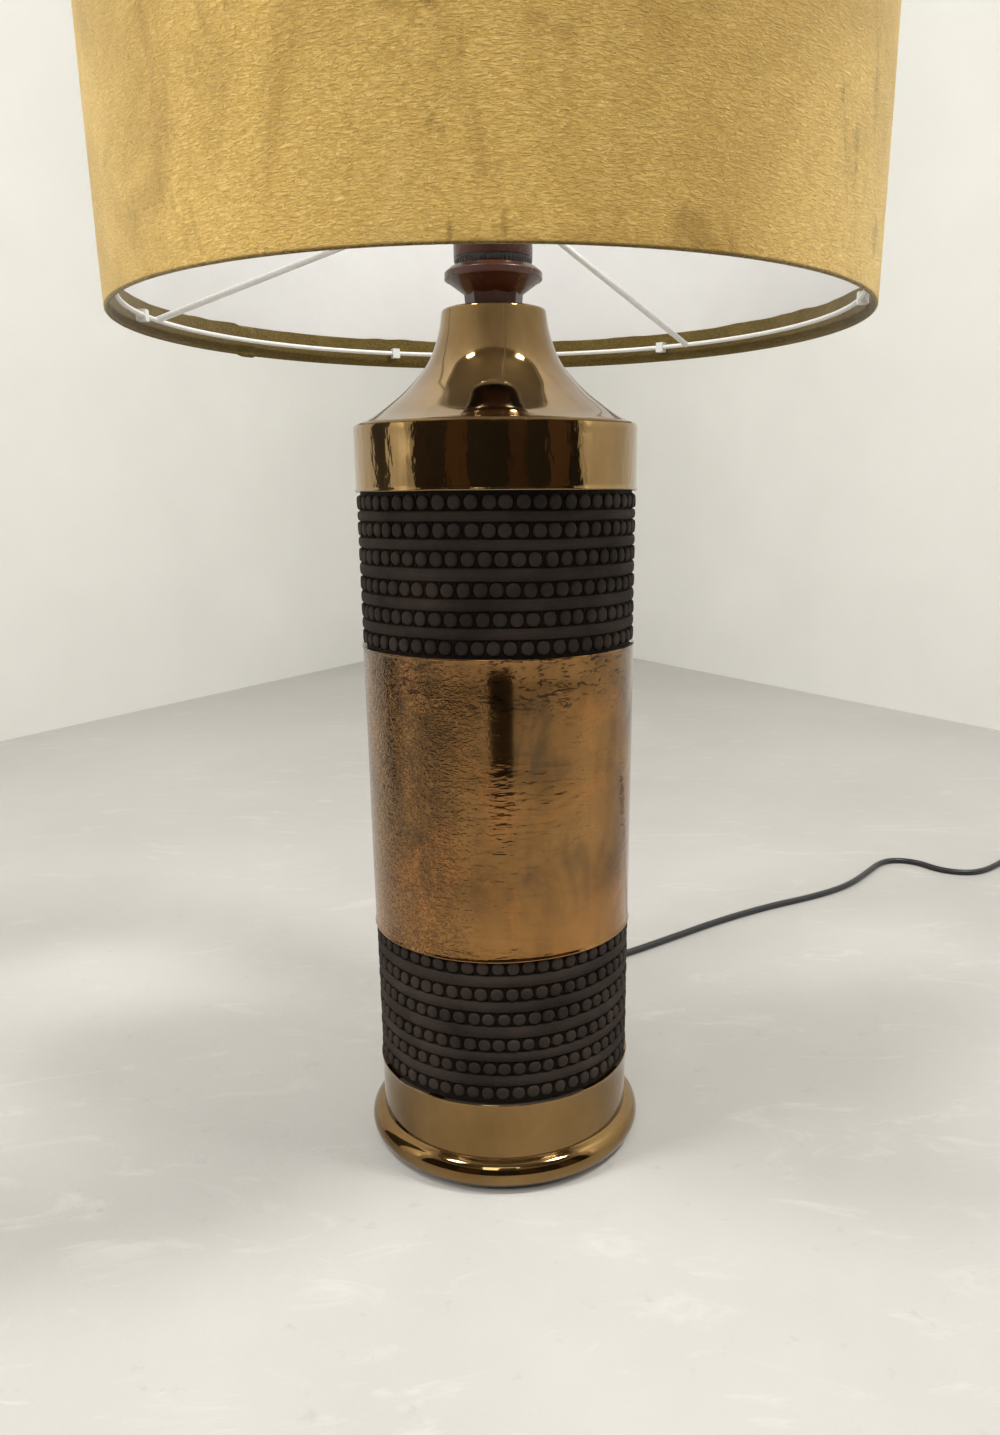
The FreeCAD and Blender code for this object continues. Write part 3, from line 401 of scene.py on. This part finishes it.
BLACK = ((0.010, 0.010, 0.011), (0.020, 0.020, 0.021))
MATERIALS = {
    "glaze": glaze(),
    "clay": clay(),
    "velvet": velvet(),
    "hem": painted_shade_hem_velvet(),
    "lining": lining(),
    "felt": felt(),
    "bulb_glass": bulb_glass(),
    "fibreboard": plain("fibreboard", (0.20, 0.125, 0.07), (0.31, 0.21, 0.13), 500, 0.0003, (0.7, 0.9)),
    "black_plastic": plain("black_plastic", *BLACK, 1400, 0.0001, (0.38, 0.5)),
    "cord_jacket": plain("cord_jacket", (0.008, 0.008, 0.009), (0.016, 0.016, 0.018), 700, 0.0001,
                         (0.3, 0.42)),
    "zinc_steel": plain("zinc_steel", (0.50, 0.49, 0.46), (0.66, 0.65, 0.61), 900, 0.0001,
                        (0.28, 0.4), Metallic=1.0),
    "brown_bakelite": plain("brown_bakelite", (0.048, 0.013, 0.006), (0.080, 0.024, 0.012), 120, 0.0001,
                            (0.2, 0.34), Coat_Weight=0.15, Coat_Roughness=0.1),
    "dark_bakelite": plain("dark_bakelite", (0.012, 0.007, 0.006), (0.024, 0.014, 0.011), 120, 0.0001,
                           (0.18, 0.32), Coat_Weight=0.3, Coat_Roughness=0.1),
    "porcelain": plain("porcelain", (0.74, 0.72, 0.68), (0.82, 0.80, 0.76), 90, 0.0001, (0.14, 0.24)),
    "brass": plain("brass", (0.60, 0.42, 0.17), (0.78, 0.58, 0.28), 500, 0.0001, (0.24, 0.38),
                   Metallic=1.0),
    "white_wire": plain("white_wire", (0.78, 0.775, 0.75), (0.86, 0.855, 0.83), 500, 0.0001, (0.3, 0.42)),
    "white_plastic": plain("white_plastic", (0.80, 0.795, 0.77), (0.87, 0.865, 0.85), 900, 0.0001,
                           (0.3, 0.4)),
    "bulb_cap": plain("bulb_cap", (0.60, 0.59, 0.57), (0.74, 0.73, 0.71), 500, 0.0001, (0.25, 0.4),
                      Metallic=1.0),
    "black_glass": plain("black_glass", *BLACK, 300, 0.0001, (0.1, 0.2)),
    "solder": plain("solder", (0.45, 0.45, 0.44), (0.62, 0.62, 0.60), 700, 0.0002, (0.3, 0.5),
                    Metallic=1.0),
    "tie": plain("tie", (0.02, 0.02, 0.021), (0.036, 0.036, 0.038), 1500, 0.0002, (0.6, 0.75)),
}


def paint_cad_nodes():
    """Gives every CAD node the material of its slot in the record."""
    slots = {entry["node"]: entry["material_slot"] for entry in frame["record"]["subparts"]}
    for name, piece in frame["nodes"].items():
        piece.data.materials.clear()
        piece.data.materials.append(MATERIALS[slots[name]])
        piece.data.shade_smooth()


# ---- ceramic body --------------------------------------------------------------------------
FELT_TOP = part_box("base_felt")[1].z
BODY_R = 79 * MM
WALL = 7 * MM
SHOULDER_Z = 434.5 * MM
SHOULDER_ROUND = 2.0 * MM
NECK_R = 28.6 * MM
NECK_LIP = 1.6 * MM
NECK_SHAPE = ((67.4 * MM, 441.2 * MM), (53.4 * MM, 451.0 * MM), (46.1 * MM, 457.5 * MM),
              (39.4 * MM, 464.9 * MM), (35.3 * MM, 471.2 * MM), (32.4 * MM, 477.8 * MM),
              (30.0 * MM, 485.8 * MM))
CERAMIC_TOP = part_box("ceramic_body")[1].z
FOOT_ROLL = 9 * MM
CHANNEL_FLOOR = 76.7 * MM
RAIL_R = 78.75 * MM
BUTTONS = 56
SEGMENTS = 4 * BUTTONS
LOWER_ROWS = [z * MM for z in (62.7, 78.5, 93.6, 110.0, 125.6, 141.6)]
UPPER_ROWS = [z * MM for z in (322.2, 336.9, 352.0, 367.4, 381.7, 395.6)]
CHANNEL_H = 8.4 * MM
ROUNDNESS = 2.2
BUTTON_HALF = (3.78, 3.65)
BUTTON_STEPS = 20
BUTTON_RINGS = ((1.04, -0.4), (1.0, 1.1), (0.93, 1.65), (0.80, 1.95), (0.50, 2.1))
BUTTON_PEAK = 2.15 * MM
WEB_LEVELS = 7
WEB_PROFILE = ((-0.45, -0.4), (-0.15, 0.7), (0.15, 0.7), (0.45, -0.4))
RAIL_PROFILE = ((0.0, -2.05), (0.02, -1.3), (0.07, -0.72), (0.14, -0.36), (0.235, -0.14), (0.265, -0.27),
                (0.295, -0.08), (0.40, 0.0), (0.5, 0.02), (0.60, 0.0), (0.705, -0.08), (0.735, -0.24),
                (0.765, -0.14), (0.86, -0.36), (0.93, -0.72), (0.98, -1.3), (1.0, -2.05))
BANDS = ((55.6 * MM, 145.8 * MM, LOWER_ROWS), (316.8 * MM, 401.2 * MM, UPPER_ROWS))


def rail_outline(low, high):
    """One half-round rail with a faint wheel line at each shoulder."""
    width = high - low
    return [(RAIL_R + drop * MM, low + share * width) for share, drop in RAIL_PROFILE]


def glaze_edge(z, side):
    """Thick lip where the glaze stops; side is 1 when the bare clay lies above."""
    swell, reach = 0.65 * MM, 2.4 * MM
    crest = [(0.0, reach), (0.35, 1.5 * MM), (0.85, 0.95 * MM), (1.0, 0.6 * MM), (0.92, 0.3 * MM),
             (0.6, 0.1 * MM)]
    made = [(BODY_R + share * swell, z - side * below) for share, below in crest]
    made.append((CHANNEL_FLOOR, z))
    return made if side > 0 else made[::-1]


def ceramic_outline():
    foot_z = FELT_TOP + FOOT_ROLL
    roll_r = BODY_R - 1 * MM
    neck_foot = (BODY_R - SHOULDER_ROUND - 0.4 * MM, SHOULDER_Z + SHOULDER_ROUND)
    neck = smooth_curve([neck_foot, *NECK_SHAPE, (NECK_R, CERAMIC_TOP - NECK_LIP)], 6)
    made = [(70 * MM, FELT_TOP), (roll_r, FELT_TOP)]
    made += arc_points((roll_r, foot_z), FOOT_ROLL, -84, 78, 18)
    made += [(BODY_R, foot_z + FOOT_ROLL + 0.3 * MM), (BODY_R, foot_z + FOOT_ROLL + 3 * MM)]
    made.append((BODY_R, 45 * MM))
    for low, high, rows in BANDS:
        made += glaze_edge(low, 1)
        for below, above in zip(rows, rows[1:]):
            made += rail_outline(below + CHANNEL_H / 2, above - CHANNEL_H / 2)
        made += glaze_edge(high, -1)
        end = BANDS[1][0] if high < BANDS[1][0] else SHOULDER_Z
        made += [(BODY_R, high + (end - high) * k / 12) for k in range(1, 12)]
    made += [(BODY_R + 0.15 * MM, SHOULDER_Z - 1.5 * MM)]
    made += arc_points((BODY_R - SHOULDER_ROUND, SHOULDER_Z), SHOULDER_ROUND, 0, 84, 6)
    made += neck
    made += arc_points((NECK_R - NECK_LIP, CERAMIC_TOP - NECK_LIP), NECK_LIP, 20, 90, 5)
    bore = 5.4 * MM
    roof = CERAMIC_TOP - 9 * MM
    made += [(bore, CERAMIC_TOP), (bore, roof), (21 * MM, roof), (26 * MM, roof - 12 * MM),
             (43 * MM, roof - 32 * MM), (BODY_R - WALL, roof - 58 * MM), (BODY_R - WALL, 14 * MM),
             (67 * MM, 14 * MM), (67 * MM, 6 * MM), (70 * MM, 6 * MM)]
    return made


def hand_thrown(r, z, angle):
    """Small unevenness of a hand-finished body."""
    if r < BODY_R - 4 * MM and z < SHOULDER_Z:
        return r, z
    c, s = math.cos(angle), math.sin(angle)
    swell = 0.22 * MM * wobble(1, c * 1.3, s * 1.3, z * 9) + 0.10 * MM * wobble(2, c * 5, s * 5, z * 60)
    lift = 0.35 * MM * wobble(3, c * 2.2, s * 2.2, z * 40)
    inside_band = any(low - 3 * MM < z < high + 3 * MM for low, high, _ in BANDS)
    return r + swell, z + (lift if inside_band else 0)


def button(points, faces, angle, z, wide, tall, lean):
    """One stamped button: a slightly squared round with a soft rim and a nearly flat face."""
    steps, rings = BUTTON_STEPS, BUTTON_RINGS
    first = len(points)
    for scale, rise in rings:
        for k in range(steps):
            turn = 2 * math.pi * k / steps
            c, s = math.cos(turn), math.sin(turn)
            square = (abs(c) ** ROUNDNESS + abs(s) ** ROUNDNESS) ** (-1 / ROUNDNESS)
            along, up = scale * wide * square * c, scale * tall * square * s
            radius = CHANNEL_FLOOR + rise * MM + lean * up
            where = angle + along / BODY_R
            points.append((radius * math.cos(where), radius * math.sin(where), z + up))
    radius = CHANNEL_FLOOR + BUTTON_PEAK
    points.append((radius * math.cos(angle), radius * math.sin(angle), z))
    for ring in range(len(rings) - 1):
        low, high = first + ring * steps, first + (ring + 1) * steps
        for k in range(steps):
            nxt = (k + 1) % steps
            faces.append((low + k, low + nxt, high + nxt, high + k))
    last = first + (len(rings) - 1) * steps
    for k in range(steps):
        faces.append((last + k, last + (k + 1) % steps, last + steps))
    faces.append(tuple(first + k for k in reversed(range(steps))))


def ridge(points, faces, angle, z, tall):
    """Thin upright web left between two stamps, bowed like the stamp's edge."""
    first = len(points)
    levels = WEB_LEVELS
    for k in range(levels):
        share = 2 * k / (levels - 1) - 1
        bow = 0.35 * MM * share * share
        for side, rise in WEB_PROFILE:
            radius = CHANNEL_FLOOR + rise * MM
            where = angle + (side * MM + bow) / BODY_R
            points.append((radius * math.cos(where), radius * math.sin(where), z + share * tall))
    for k in range(levels - 1):
        for j in range(4):
            a, b = first + 4 * k + j, first + 4 * k + (j + 1) % 4
            faces.append((a, b, b + 4, a + 4))
    faces.append((first + 3, first + 2, first + 1, first))
    top = first + 4 * (levels - 1)
    faces.append((top, top + 1, top + 2, top + 3))


def make_relief(name, rows, rng):
    """Buttons and webs of one band."""
    points, faces = [], []
    step = 2 * math.pi / BUTTONS
    for z in rows:
        start = rng.uniform(0, 2 * math.pi)
        for k in range(BUTTONS):
            angle = start + (k + rng.uniform(-0.05, 0.05)) * step
            height = z + 0.35 * MM * wobble(3, 2.2 * math.cos(angle), 2.2 * math.sin(angle), z * 40)
            wide, tall = (size * MM * rng.uniform(0.94, 1.05) for size in BUTTON_HALF)
            button(points, faces, angle, height, wide, tall, rng.uniform(-0.05, 0.05))
            ridge(points, faces, angle + step / 2, height, CHANNEL_H / 2 * 0.98)
    finish_piece(new_object(name, points, faces, 40), "base", "glaze", (MATERIALS["clay"],))


def make_ceramic():
    body = new_object("lamp_body", *turned(ceramic_outline(), SEGMENTS, hand_thrown), 40)
    body = finish_piece(body, "base", "glaze", (MATERIALS["glaze"], MATERIALS["clay"]), "ceramic_body")
    inner = BODY_R - 5 * MM
    for face in body.data.polygons:
        middle = face.center
        in_band = any(low - 0.1 * MM < middle.z < high + 0.1 * MM for low, high, _ in BANDS)
        unglazed_inside = math.hypot(middle.x, middle.y) < inner and middle.z < SHOULDER_Z
        if in_band or unglazed_inside or middle.z < FELT_TOP + 0.2 * MM:
            face.material_index = 1
    rng = random.Random(5)
    make_relief("lower_relief", LOWER_ROWS, rng)
    make_relief("upper_relief", UPPER_ROWS, rng)


# ---- lampholder ----------------------------------------------------------------------------
CAP_LOW, CAP_HIGH = (corner.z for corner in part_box("holder_cap"))
SHELL_LOW, SHELL_HIGH = (corner.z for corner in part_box("holder_shell"))


def make_holder_cap():
    """Eight-sided neck that runs up into a round cone, then the flange with its shallow top."""
    facets, facet_turn, steps = 8, math.radians(4), 96
    foot_r, spread = 15.2 * MM, 0.10
    cone_low, cone_high = CAP_LOW + 6.9 * MM, CAP_LOW + 14.6 * MM
    cone_foot_r, cone_top_r = 14.4 * MM, 25.4 * MM

    def facetted(r, z, angle):
        """The larger of the eight-sided neck and the round cone."""
        if r < 12 * MM or z > cone_high - 0.1 * MM:
            return r, z
        slice_angle = 2 * math.pi / facets
        off_middle = (angle - facet_turn + slice_angle) % slice_angle - slice_angle / 2
        corner_r = foot_r + spread * (z - CAP_LOW)
        flat = corner_r * math.cos(slice_angle / 2) / math.cos(off_middle)
        slope = (z - cone_low) / (cone_high - cone_low)
        on_cone = cone_foot_r + (cone_top_r - cone_foot_r) * slope
        return max(flat, on_cone), z

    outline = [(11 * MM, CAP_LOW + 0.01 * MM), (14 * MM, CAP_LOW + 0.01 * MM)]
    outline += [(15 * MM, CAP_LOW + k * MM) for k in (0.3, 2.5, 5.0, 6.5)]
    outline += [(15 * MM, cone_low + k * 0.15 * MM) for k in range(0, 18)]
    outline += [(20 * MM, cone_low + (3.2 + k * 0.85) * MM) for k in range(6)]
    flange, dish_r = 26.4 * MM, 22.4 * MM
    outline += [(25.5 * MM, cone_high), (flange - 0.3 * MM, cone_high + 0.1 * MM),
                (flange, cone_high + 0.5 * MM), (flange, cone_high + 3.4 * MM),
                (flange - 0.3 * MM, cone_high + 3.9 * MM), (23.3 * MM, CAP_HIGH - 0.1 * MM),
                (22.7 * MM, CAP_HIGH), (dish_r, CAP_HIGH - 0.3 * MM), (dish_r, CAP_HIGH - 1.2 * MM),
                (21.3 * MM, CAP_HIGH - 1.2 * MM), (21.25 * MM, SHELL_LOW), (11 * MM, SHELL_LOW)]
    cap = new_object("holder_cap_moulded", *turned(outline, steps, facetted), 24)
    finish_piece(cap, "base", "brown_bakelite", (MATERIALS["brown_bakelite"],), "holder_cap")


def make_holder_shell():
    """Threaded shell with a narrow beaded band at its foot."""
    bead = (0.0, 0.15, 0.6, 1.0, 0.6, 0.15)
    bead_depth, thread_r = 0.32 * MM, 19.7 * MM
    steps = 56 * len(bead)
    step_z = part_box("lower_shade_ring")[0].z
    band_low, band_high = CAP_HIGH + 0.4 * MM, CAP_HIGH + 3.6 * MM

    def beaded(r, z, angle):
        if band_low < z < band_high and r > 19 * MM:
            phase = round(angle / (2 * math.pi) * steps) % len(bead)
            return r - bead_depth * bead[phase], z
        return r, z

    outline = [(17.5 * MM, SHELL_LOW), (21.0 * MM, SHELL_LOW), (21.0 * MM, CAP_HIGH - 0.6 * MM),
               (20.2 * MM, CAP_HIGH - 0.2 * MM), (20.2 * MM, band_low)]
    outline += [(20.3 * MM + 0.85 * MM * share, band_low + 3.2 * MM * share)
                for share in (0.1, 0.35, 0.6, 0.85)]
    outline += [(21.15 * MM, band_high), (20.7 * MM, band_high + 0.25 * MM),
                (20.7 * MM, band_high + 0.7 * MM), (21.1 * MM, band_high + 0.95 * MM),
                (21.2 * MM, band_high + 1.2 * MM), (21.2 * MM, step_z), (thread_r, step_z)]
    pitch, groove = 2.0 * MM, 0.55 * MM
    turns = int((SHELL_HIGH - step_z - 1 * MM) / pitch)
    for k in range(turns):
        z = step_z + k * pitch
        outline += [(thread_r, z + 0.5 * MM), (thread_r - groove, z + 1.0 * MM),
                    (thread_r - groove, z + 1.4 * MM), (thread_r, z + 1.9 * MM)]
    outline += [(19.6 * MM, SHELL_HIGH - 0.4 * MM), (19.2 * MM, SHELL_HIGH), (17.5 * MM, SHELL_HIGH)]
    shell = new_object("holder_shell_moulded", *turned(outline, steps, beaded), 30)
    materials = (MATERIALS["brown_bakelite"], MATERIALS["dark_bakelite"])
    finish_piece(shell, "base", "brown_bakelite", materials, "holder_shell")
    # painted shade: the shell's foot down in the cap's dish and its beaded band take the darker bakelite
    for face in shell.data.polygons:
        if CAP_HIGH - 1 * MM < face.center.z < band_high + 0.9 * MM:
            face.material_index = 1


# ---- shade ---------------------------------------------------------------------------------
SHADE_R = 199.8 * MM
HEM_R = 197.2 * MM
HEM_H = 17.5 * MM
SEAM = math.radians(144)
SEAM_HALF = 0.030
SEAM_STEP = 0.003
LAP = 0.7 * MM
RIM_DROP_H = 4 * MM


def shade_outline():
    """Drum cloth with rolled rims and turned-in hems, from the lower hem's edge round to the upper's."""
    roll = 1.3 * MM
    middle = SHADE_R - roll
    made = [(HEM_R, RIM_Z + HEM_H * k / 4) for k in (3, 2, 1)]
    made += arc_points((middle, RIM_Z + roll), roll, 180, 360, 10)
    height = SHADE_TOP - RIM_Z - 2 * roll
    rows = 44
    made += [(SHADE_R, RIM_Z + roll + height * k / rows) for k in range(1, rows)]
    made += arc_points((middle, SHADE_TOP - roll), roll, 0, 180, 10)
    made += [(HEM_R, SHADE_TOP - HEM_H * k / 4) for k in (1, 2, 3, 4)]
    hem_back, cloth_back = 198.15 * MM, 198.85 * MM
    made += [(hem_back, SHADE_TOP - HEM_H), (hem_back, SHADE_TOP - 1 * MM), (cloth_back, SHADE_TOP - 1 * MM),
             (cloth_back, RIM_Z + 1 * MM), (hem_back, RIM_Z + 1 * MM), (hem_back, RIM_Z + HEM_H),
             (HEM_R, RIM_Z + HEM_H)]
    return made


def stretched_cloth(r, z, angle):
    """Soft waves, the seam's lap, and a hem edge that isn't quite straight."""
    c, s = math.cos(angle), math.sin(angle)
    off_seam = abs((angle - SEAM + math.pi) % (2 * math.pi) - math.pi)
    overlap = max(0.0, min(1.0, (SEAM_HALF - off_seam) / SEAM_STEP))
    lap = LAP * overlap
    if r > HEM_R and z < RIM_Z + RIM_DROP_H:
        z -= 1.0 * MM * overlap * (1 - (z - RIM_Z) / RIM_DROP_H)
    if r > SHADE_R - 0.2 * MM:
        soft = 0.28 * MM * wobble(5, c * 1.6, s * 1.6, z * 7) + 0.10 * MM * wobble(6, c * 9, s * 9, z * 40)
        return r + soft + lap, z
    if r <= HEM_R + 0.1 * MM:
        edge = 1 if HEM_H * 0.9 < z - RIM_Z < HEM_H * 1.1 else 0
        drift = 1.1 * MM * wobble(7, c * 5, s * 5, 0) + 0.5 * MM * wobble(8, c * 17, s * 17, 0) - 2 * lap
        return r - 0.7 * lap, z + edge * drift
    return r, z


def make_shade():
    outline = shade_outline()
    cloth = new_object("shade_cloth", *turned(outline, 576, stretched_cloth), 50)
    finish_piece(cloth, "shade", "velvet", (MATERIALS["velvet"], MATERIALS["hem"]), "shade_fabric")
    # the inner faces take the hem velvet with its painted shade
    for face in cloth.data.polygons:
        if math.hypot(face.center.x, face.center.y) < SHADE_R - 1.2 * MM:
            face.material_index = 1


# ---- cord ----------------------------------------------------------------------------------
CORD_R = 3 * MM
SWITCH_TURN = math.radians(25)
SWITCH = Vector((665.2, 558.6, 5))
SWITCH_REACH = 51.0
PLUG_TIP = Vector((684.0, 474.5, 6.85))
PLUG_TURN = math.radians(197)
END_RUN = 15.0
COIL_CENTRE = Vector((742.5, 521.7, 0))
COIL_STEPS = 16


def heading(angle, length):
    return Vector((math.cos(angle), math.sin(angle), 0)) * length


def coil_points():
    """Three turns and a bit, clockwise: outer and inner on the floor, then one on top."""
    start, sweep = math.radians(10), 3 * 360 + 100
    tracks = ((0, 34.5, 3.0), (300, 34.5, 3.0), (400, 28.5, 3.0), (660, 28.5, 3.0), (770, 31.5, 8.4),
              (1050, 31.5, 8.6), (sweep, 34.5, 9.0))
    made = []
    count = int(sweep / 360 * COIL_STEPS)
    stretch = 1 / math.cos(math.pi / COIL_STEPS)
    for k in range(1, count):
        turned_by = sweep * k / count
        for (a0, r0, z0), (a1, r1, z1) in zip(tracks, tracks[1:]):
            if a0 <= turned_by <= a1:
                share = (turned_by - a0) / (a1 - a0)
                share = share * share * (3 - 2 * share)
                radius, z = r0 + (r1 - r0) * share, z0 + (z1 - z0) * share
        place = COIL_CENTRE + heading(start - math.radians(turned_by), radius * stretch)
        made.append((place.x, place.y, z))
    return made


def cord_route():
    """The route of part.py, in millimetres, with the coil's turns."""
    switch_in = SWITCH - heading(SWITCH_TURN, SWITCH_REACH)
    switch_out = SWITCH + heading(SWITCH_TURN, SWITCH_REACH)
    route = [(0, 108, 28), (0, 128, 28), (2, 150, 16), (7, 172, 6), (16, 194, 3), (36, 214, 3), (68, 230, 3),
             (108, 254, 3), (154, 288, 3), (206, 328, 3), (264, 365, 3), (324, 394, 3), (366, 424, 3),
             (397, 461, 3), (424, 496, 3), (446, 502, 3), (466, 491, 3), (478, 468, 3), (498, 456, 3),
             (521, 458, 3), (551, 482, 3), (572, 505, 3), (588, 519, 3.6),
             tuple(switch_in - heading(SWITCH_TURN, END_RUN)), tuple(switch_in), tuple(SWITCH),
             tuple(switch_out), tuple(switch_out + heading(SWITCH_TURN, END_RUN)), (746, 585, 3.4),
             (764, 571.5, 3), (774.2, 549.7, 3), (777.4, 528, 3)]
    route += coil_points()
    route += [(742.5, 487.2, 9), (721, 486.3, 8), tuple(PLUG_TIP - heading(PLUG_TURN, END_RUN)),
              tuple(PLUG_TIP), tuple(PLUG_TIP + heading(PLUG_TURN, 6))]
    return route


def make_cord():
    route = cord_route()
    data = bpy.data.curves.new("mains_lead", "CURVE")
    data.dimensions = "3D"
    data.bevel_depth = CORD_R
    data.bevel_resolution = 5
    data.resolution_u = 6
    data.use_fill_caps = True
    spline = data.splines.new("NURBS")
    spline.points.add(len(route) - 1)
    for point, place in zip(spline.points, route):
        point.co = (place[0] * MM, place[1] * MM, place[2] * MM, 1)
    spline.order_u = 3
    spline.use_endpoint_u = True
    lead = bpy.data.objects.new("mains_lead", data)
    bpy.context.scene.collection.objects.link(lead)
    finish_piece(lead, "base", "cord_jacket", (MATERIALS["cord_jacket"],), "mains_cord",
                 "switch_to_coil_cord", "cord_coil", "plug_lead")


# ---- stage ---------------------------------------------------------------------------------
def area_light(name, place, target, size, power, colour, mirrored=True):
    data = bpy.data.lights.new(name, "AREA")
    data.shape = "RECTANGLE"
    data.size, data.size_y = size
    data.energy = power
    data.color = colour
    light = bpy.data.objects.new(name, data)
    light.visible_glossy = mirrored
    bpy.context.scene.collection.objects.link(light)
    light.location = place
    light.rotation_euler = (Vector(target) - Vector(place)).to_track_quat("-Z", "Y").to_euler()


def card(name, bearing, distance, size, bottom, colour, shades=False):
    """An upright board that only reflections see, or also soft light if it shades.

    bearing is in degrees from the front, rightwards.
    """
    turn = math.radians(bearing)
    place = Vector((math.sin(turn) * distance, -math.cos(turn) * distance, bottom + size[1] / 2))
    w, h = size[0] / 2, size[1] / 2
    made = new_object(name, [(-w, -h, 0), (w, -h, 0), (w, h, 0), (-w, h, 0)], [(0, 1, 2, 3)])
    made.location = place
    made.rotation_euler = (math.pi / 2, 0, turn)
    made.data.materials.append(plain(name + "_paint", colour, colour, 20, 0.0001, (0.6, 0.8)))
    for sight in ("camera", "shadow", "transmission"):
        setattr(made, "visible_" + sight, False)
    made.visible_diffuse = shades
    return made


DARK_ROOM = ((0.030, 0.016, 0.010), (0.016, 0.010, 0.008), (0.085, 0.040, 0.018), (0.012, 0.009, 0.008),
             (0.070, 0.026, 0.012), (0.050, 0.024, 0.014), (0.012, 0.008, 0.007), (0.10, 0.055, 0.03),
             (0.010, 0.008, 0.008), (0.040, 0.018, 0.012), (0.014, 0.010, 0.009))
CORNER = Vector((0.0, 2.75))
WALL_ENDS = (Vector((-2.0, -0.80)), Vector((2.0, -0.80)))
WALL_WHITE = ((0.64, 0.635, 0.605), (0.69, 0.685, 0.655))
WALL_H = 2.6
FLOOR_HALF = 6.0
FLOOR_BACK = 3.2
KEY_SIZE = (0.36, 0.36)
KEY_WHITE = (1.0, 0.98, 0.94)
SIDE_WHITE = (1.0, 0.99, 0.96)


def make_wall(name, end):
    """Upright white wall from the room's corner to an end."""
    along = end - CORNER
    reach = along.length
    wall = new_object(name, [(0, 0, 0), (reach, 0, 0), (reach, 0, WALL_H), (0, 0, WALL_H)], [(0, 1, 2, 3)])
    wall.location = (CORNER.x, CORNER.y, 0)
    wall.rotation_euler = (0, 0, math.atan2(along.y, along.x))
    wall.data.materials.append(plain(name + "_paint", *WALL_WHITE, 3, 0.0001, (0.55, 0.65)))


def make_floor():
    low, high = (-FLOOR_HALF, -FLOOR_HALF), (FLOOR_HALF, FLOOR_BACK)
    corners = [(*low, 0), (high[0], low[1], 0), (*high, 0), (low[0], high[1], 0)]
    floor = new_object("floor", corners, [(0, 1, 2, 3)])
    floor.data.materials.append(floor_paint())


def make_stage():
    make_floor()
    for name, end in zip(("left_wall", "right_wall"), WALL_ENDS):
        make_wall(name, end)
    world = bpy.data.worlds.new("studio")
    bpy.context.scene.world = world
    world.use_nodes = True
    background = world.node_tree.nodes["Background"]
    background.inputs["Color"].default_value = (1.0, 0.985, 0.94, 1)
    background.inputs["Strength"].default_value = 0.35
    area_light("key_left", (-1.1, -0.45, 2.4), (0, 0.1, 0.4), KEY_SIZE, 34, KEY_WHITE)
    area_light("key_right", (1.1, -0.35, 2.4), (0, 0.1, 0.4), KEY_SIZE, 46, KEY_WHITE)
    area_light("side_left", (-1.7, -0.7, 1.0), (0, 0, 0.6), (0.5, 0.9), 21, SIDE_WHITE, False)
    area_light("side_right", (1.8, -0.6, 1.0), (0, 0, 0.6), (0.4, 0.9), 16, SIDE_WHITE, False)
    area_light("front_high", (-0.2, -1.9, 2.3), (0, 0, 0.3), (1.2, 1.0), 22, (1.0, 0.98, 0.95))
    for k, colour in enumerate(DARK_ROOM):
        card("room_%d" % k, -62 + 16.0 * k, 2.6, (0.74, 2.2), 0.0, colour, shades=True)
    card("dark_board", 1.5, 0.80, (0.25, 1.1), 0.06, (0.006, 0.004, 0.003))
    card("dark_left", -100, 0.95, (0.34, 1.2), 0.0, (0.055, 0.055, 0.050))
    ceiling = card("ceiling", 0, 0, (4.0, 4.0), 0, (0.24, 0.215, 0.18))
    ceiling.location = (0, 0, WALL_H)
    ceiling.rotation_euler = (0, 0, 0)
    bpy.context.scene.view_settings.view_transform = "Standard"


make_camera()
make_cord()
paint_cad_nodes()
make_ceramic()
make_holder_cap()
make_holder_shell()
make_shade()
make_stage()
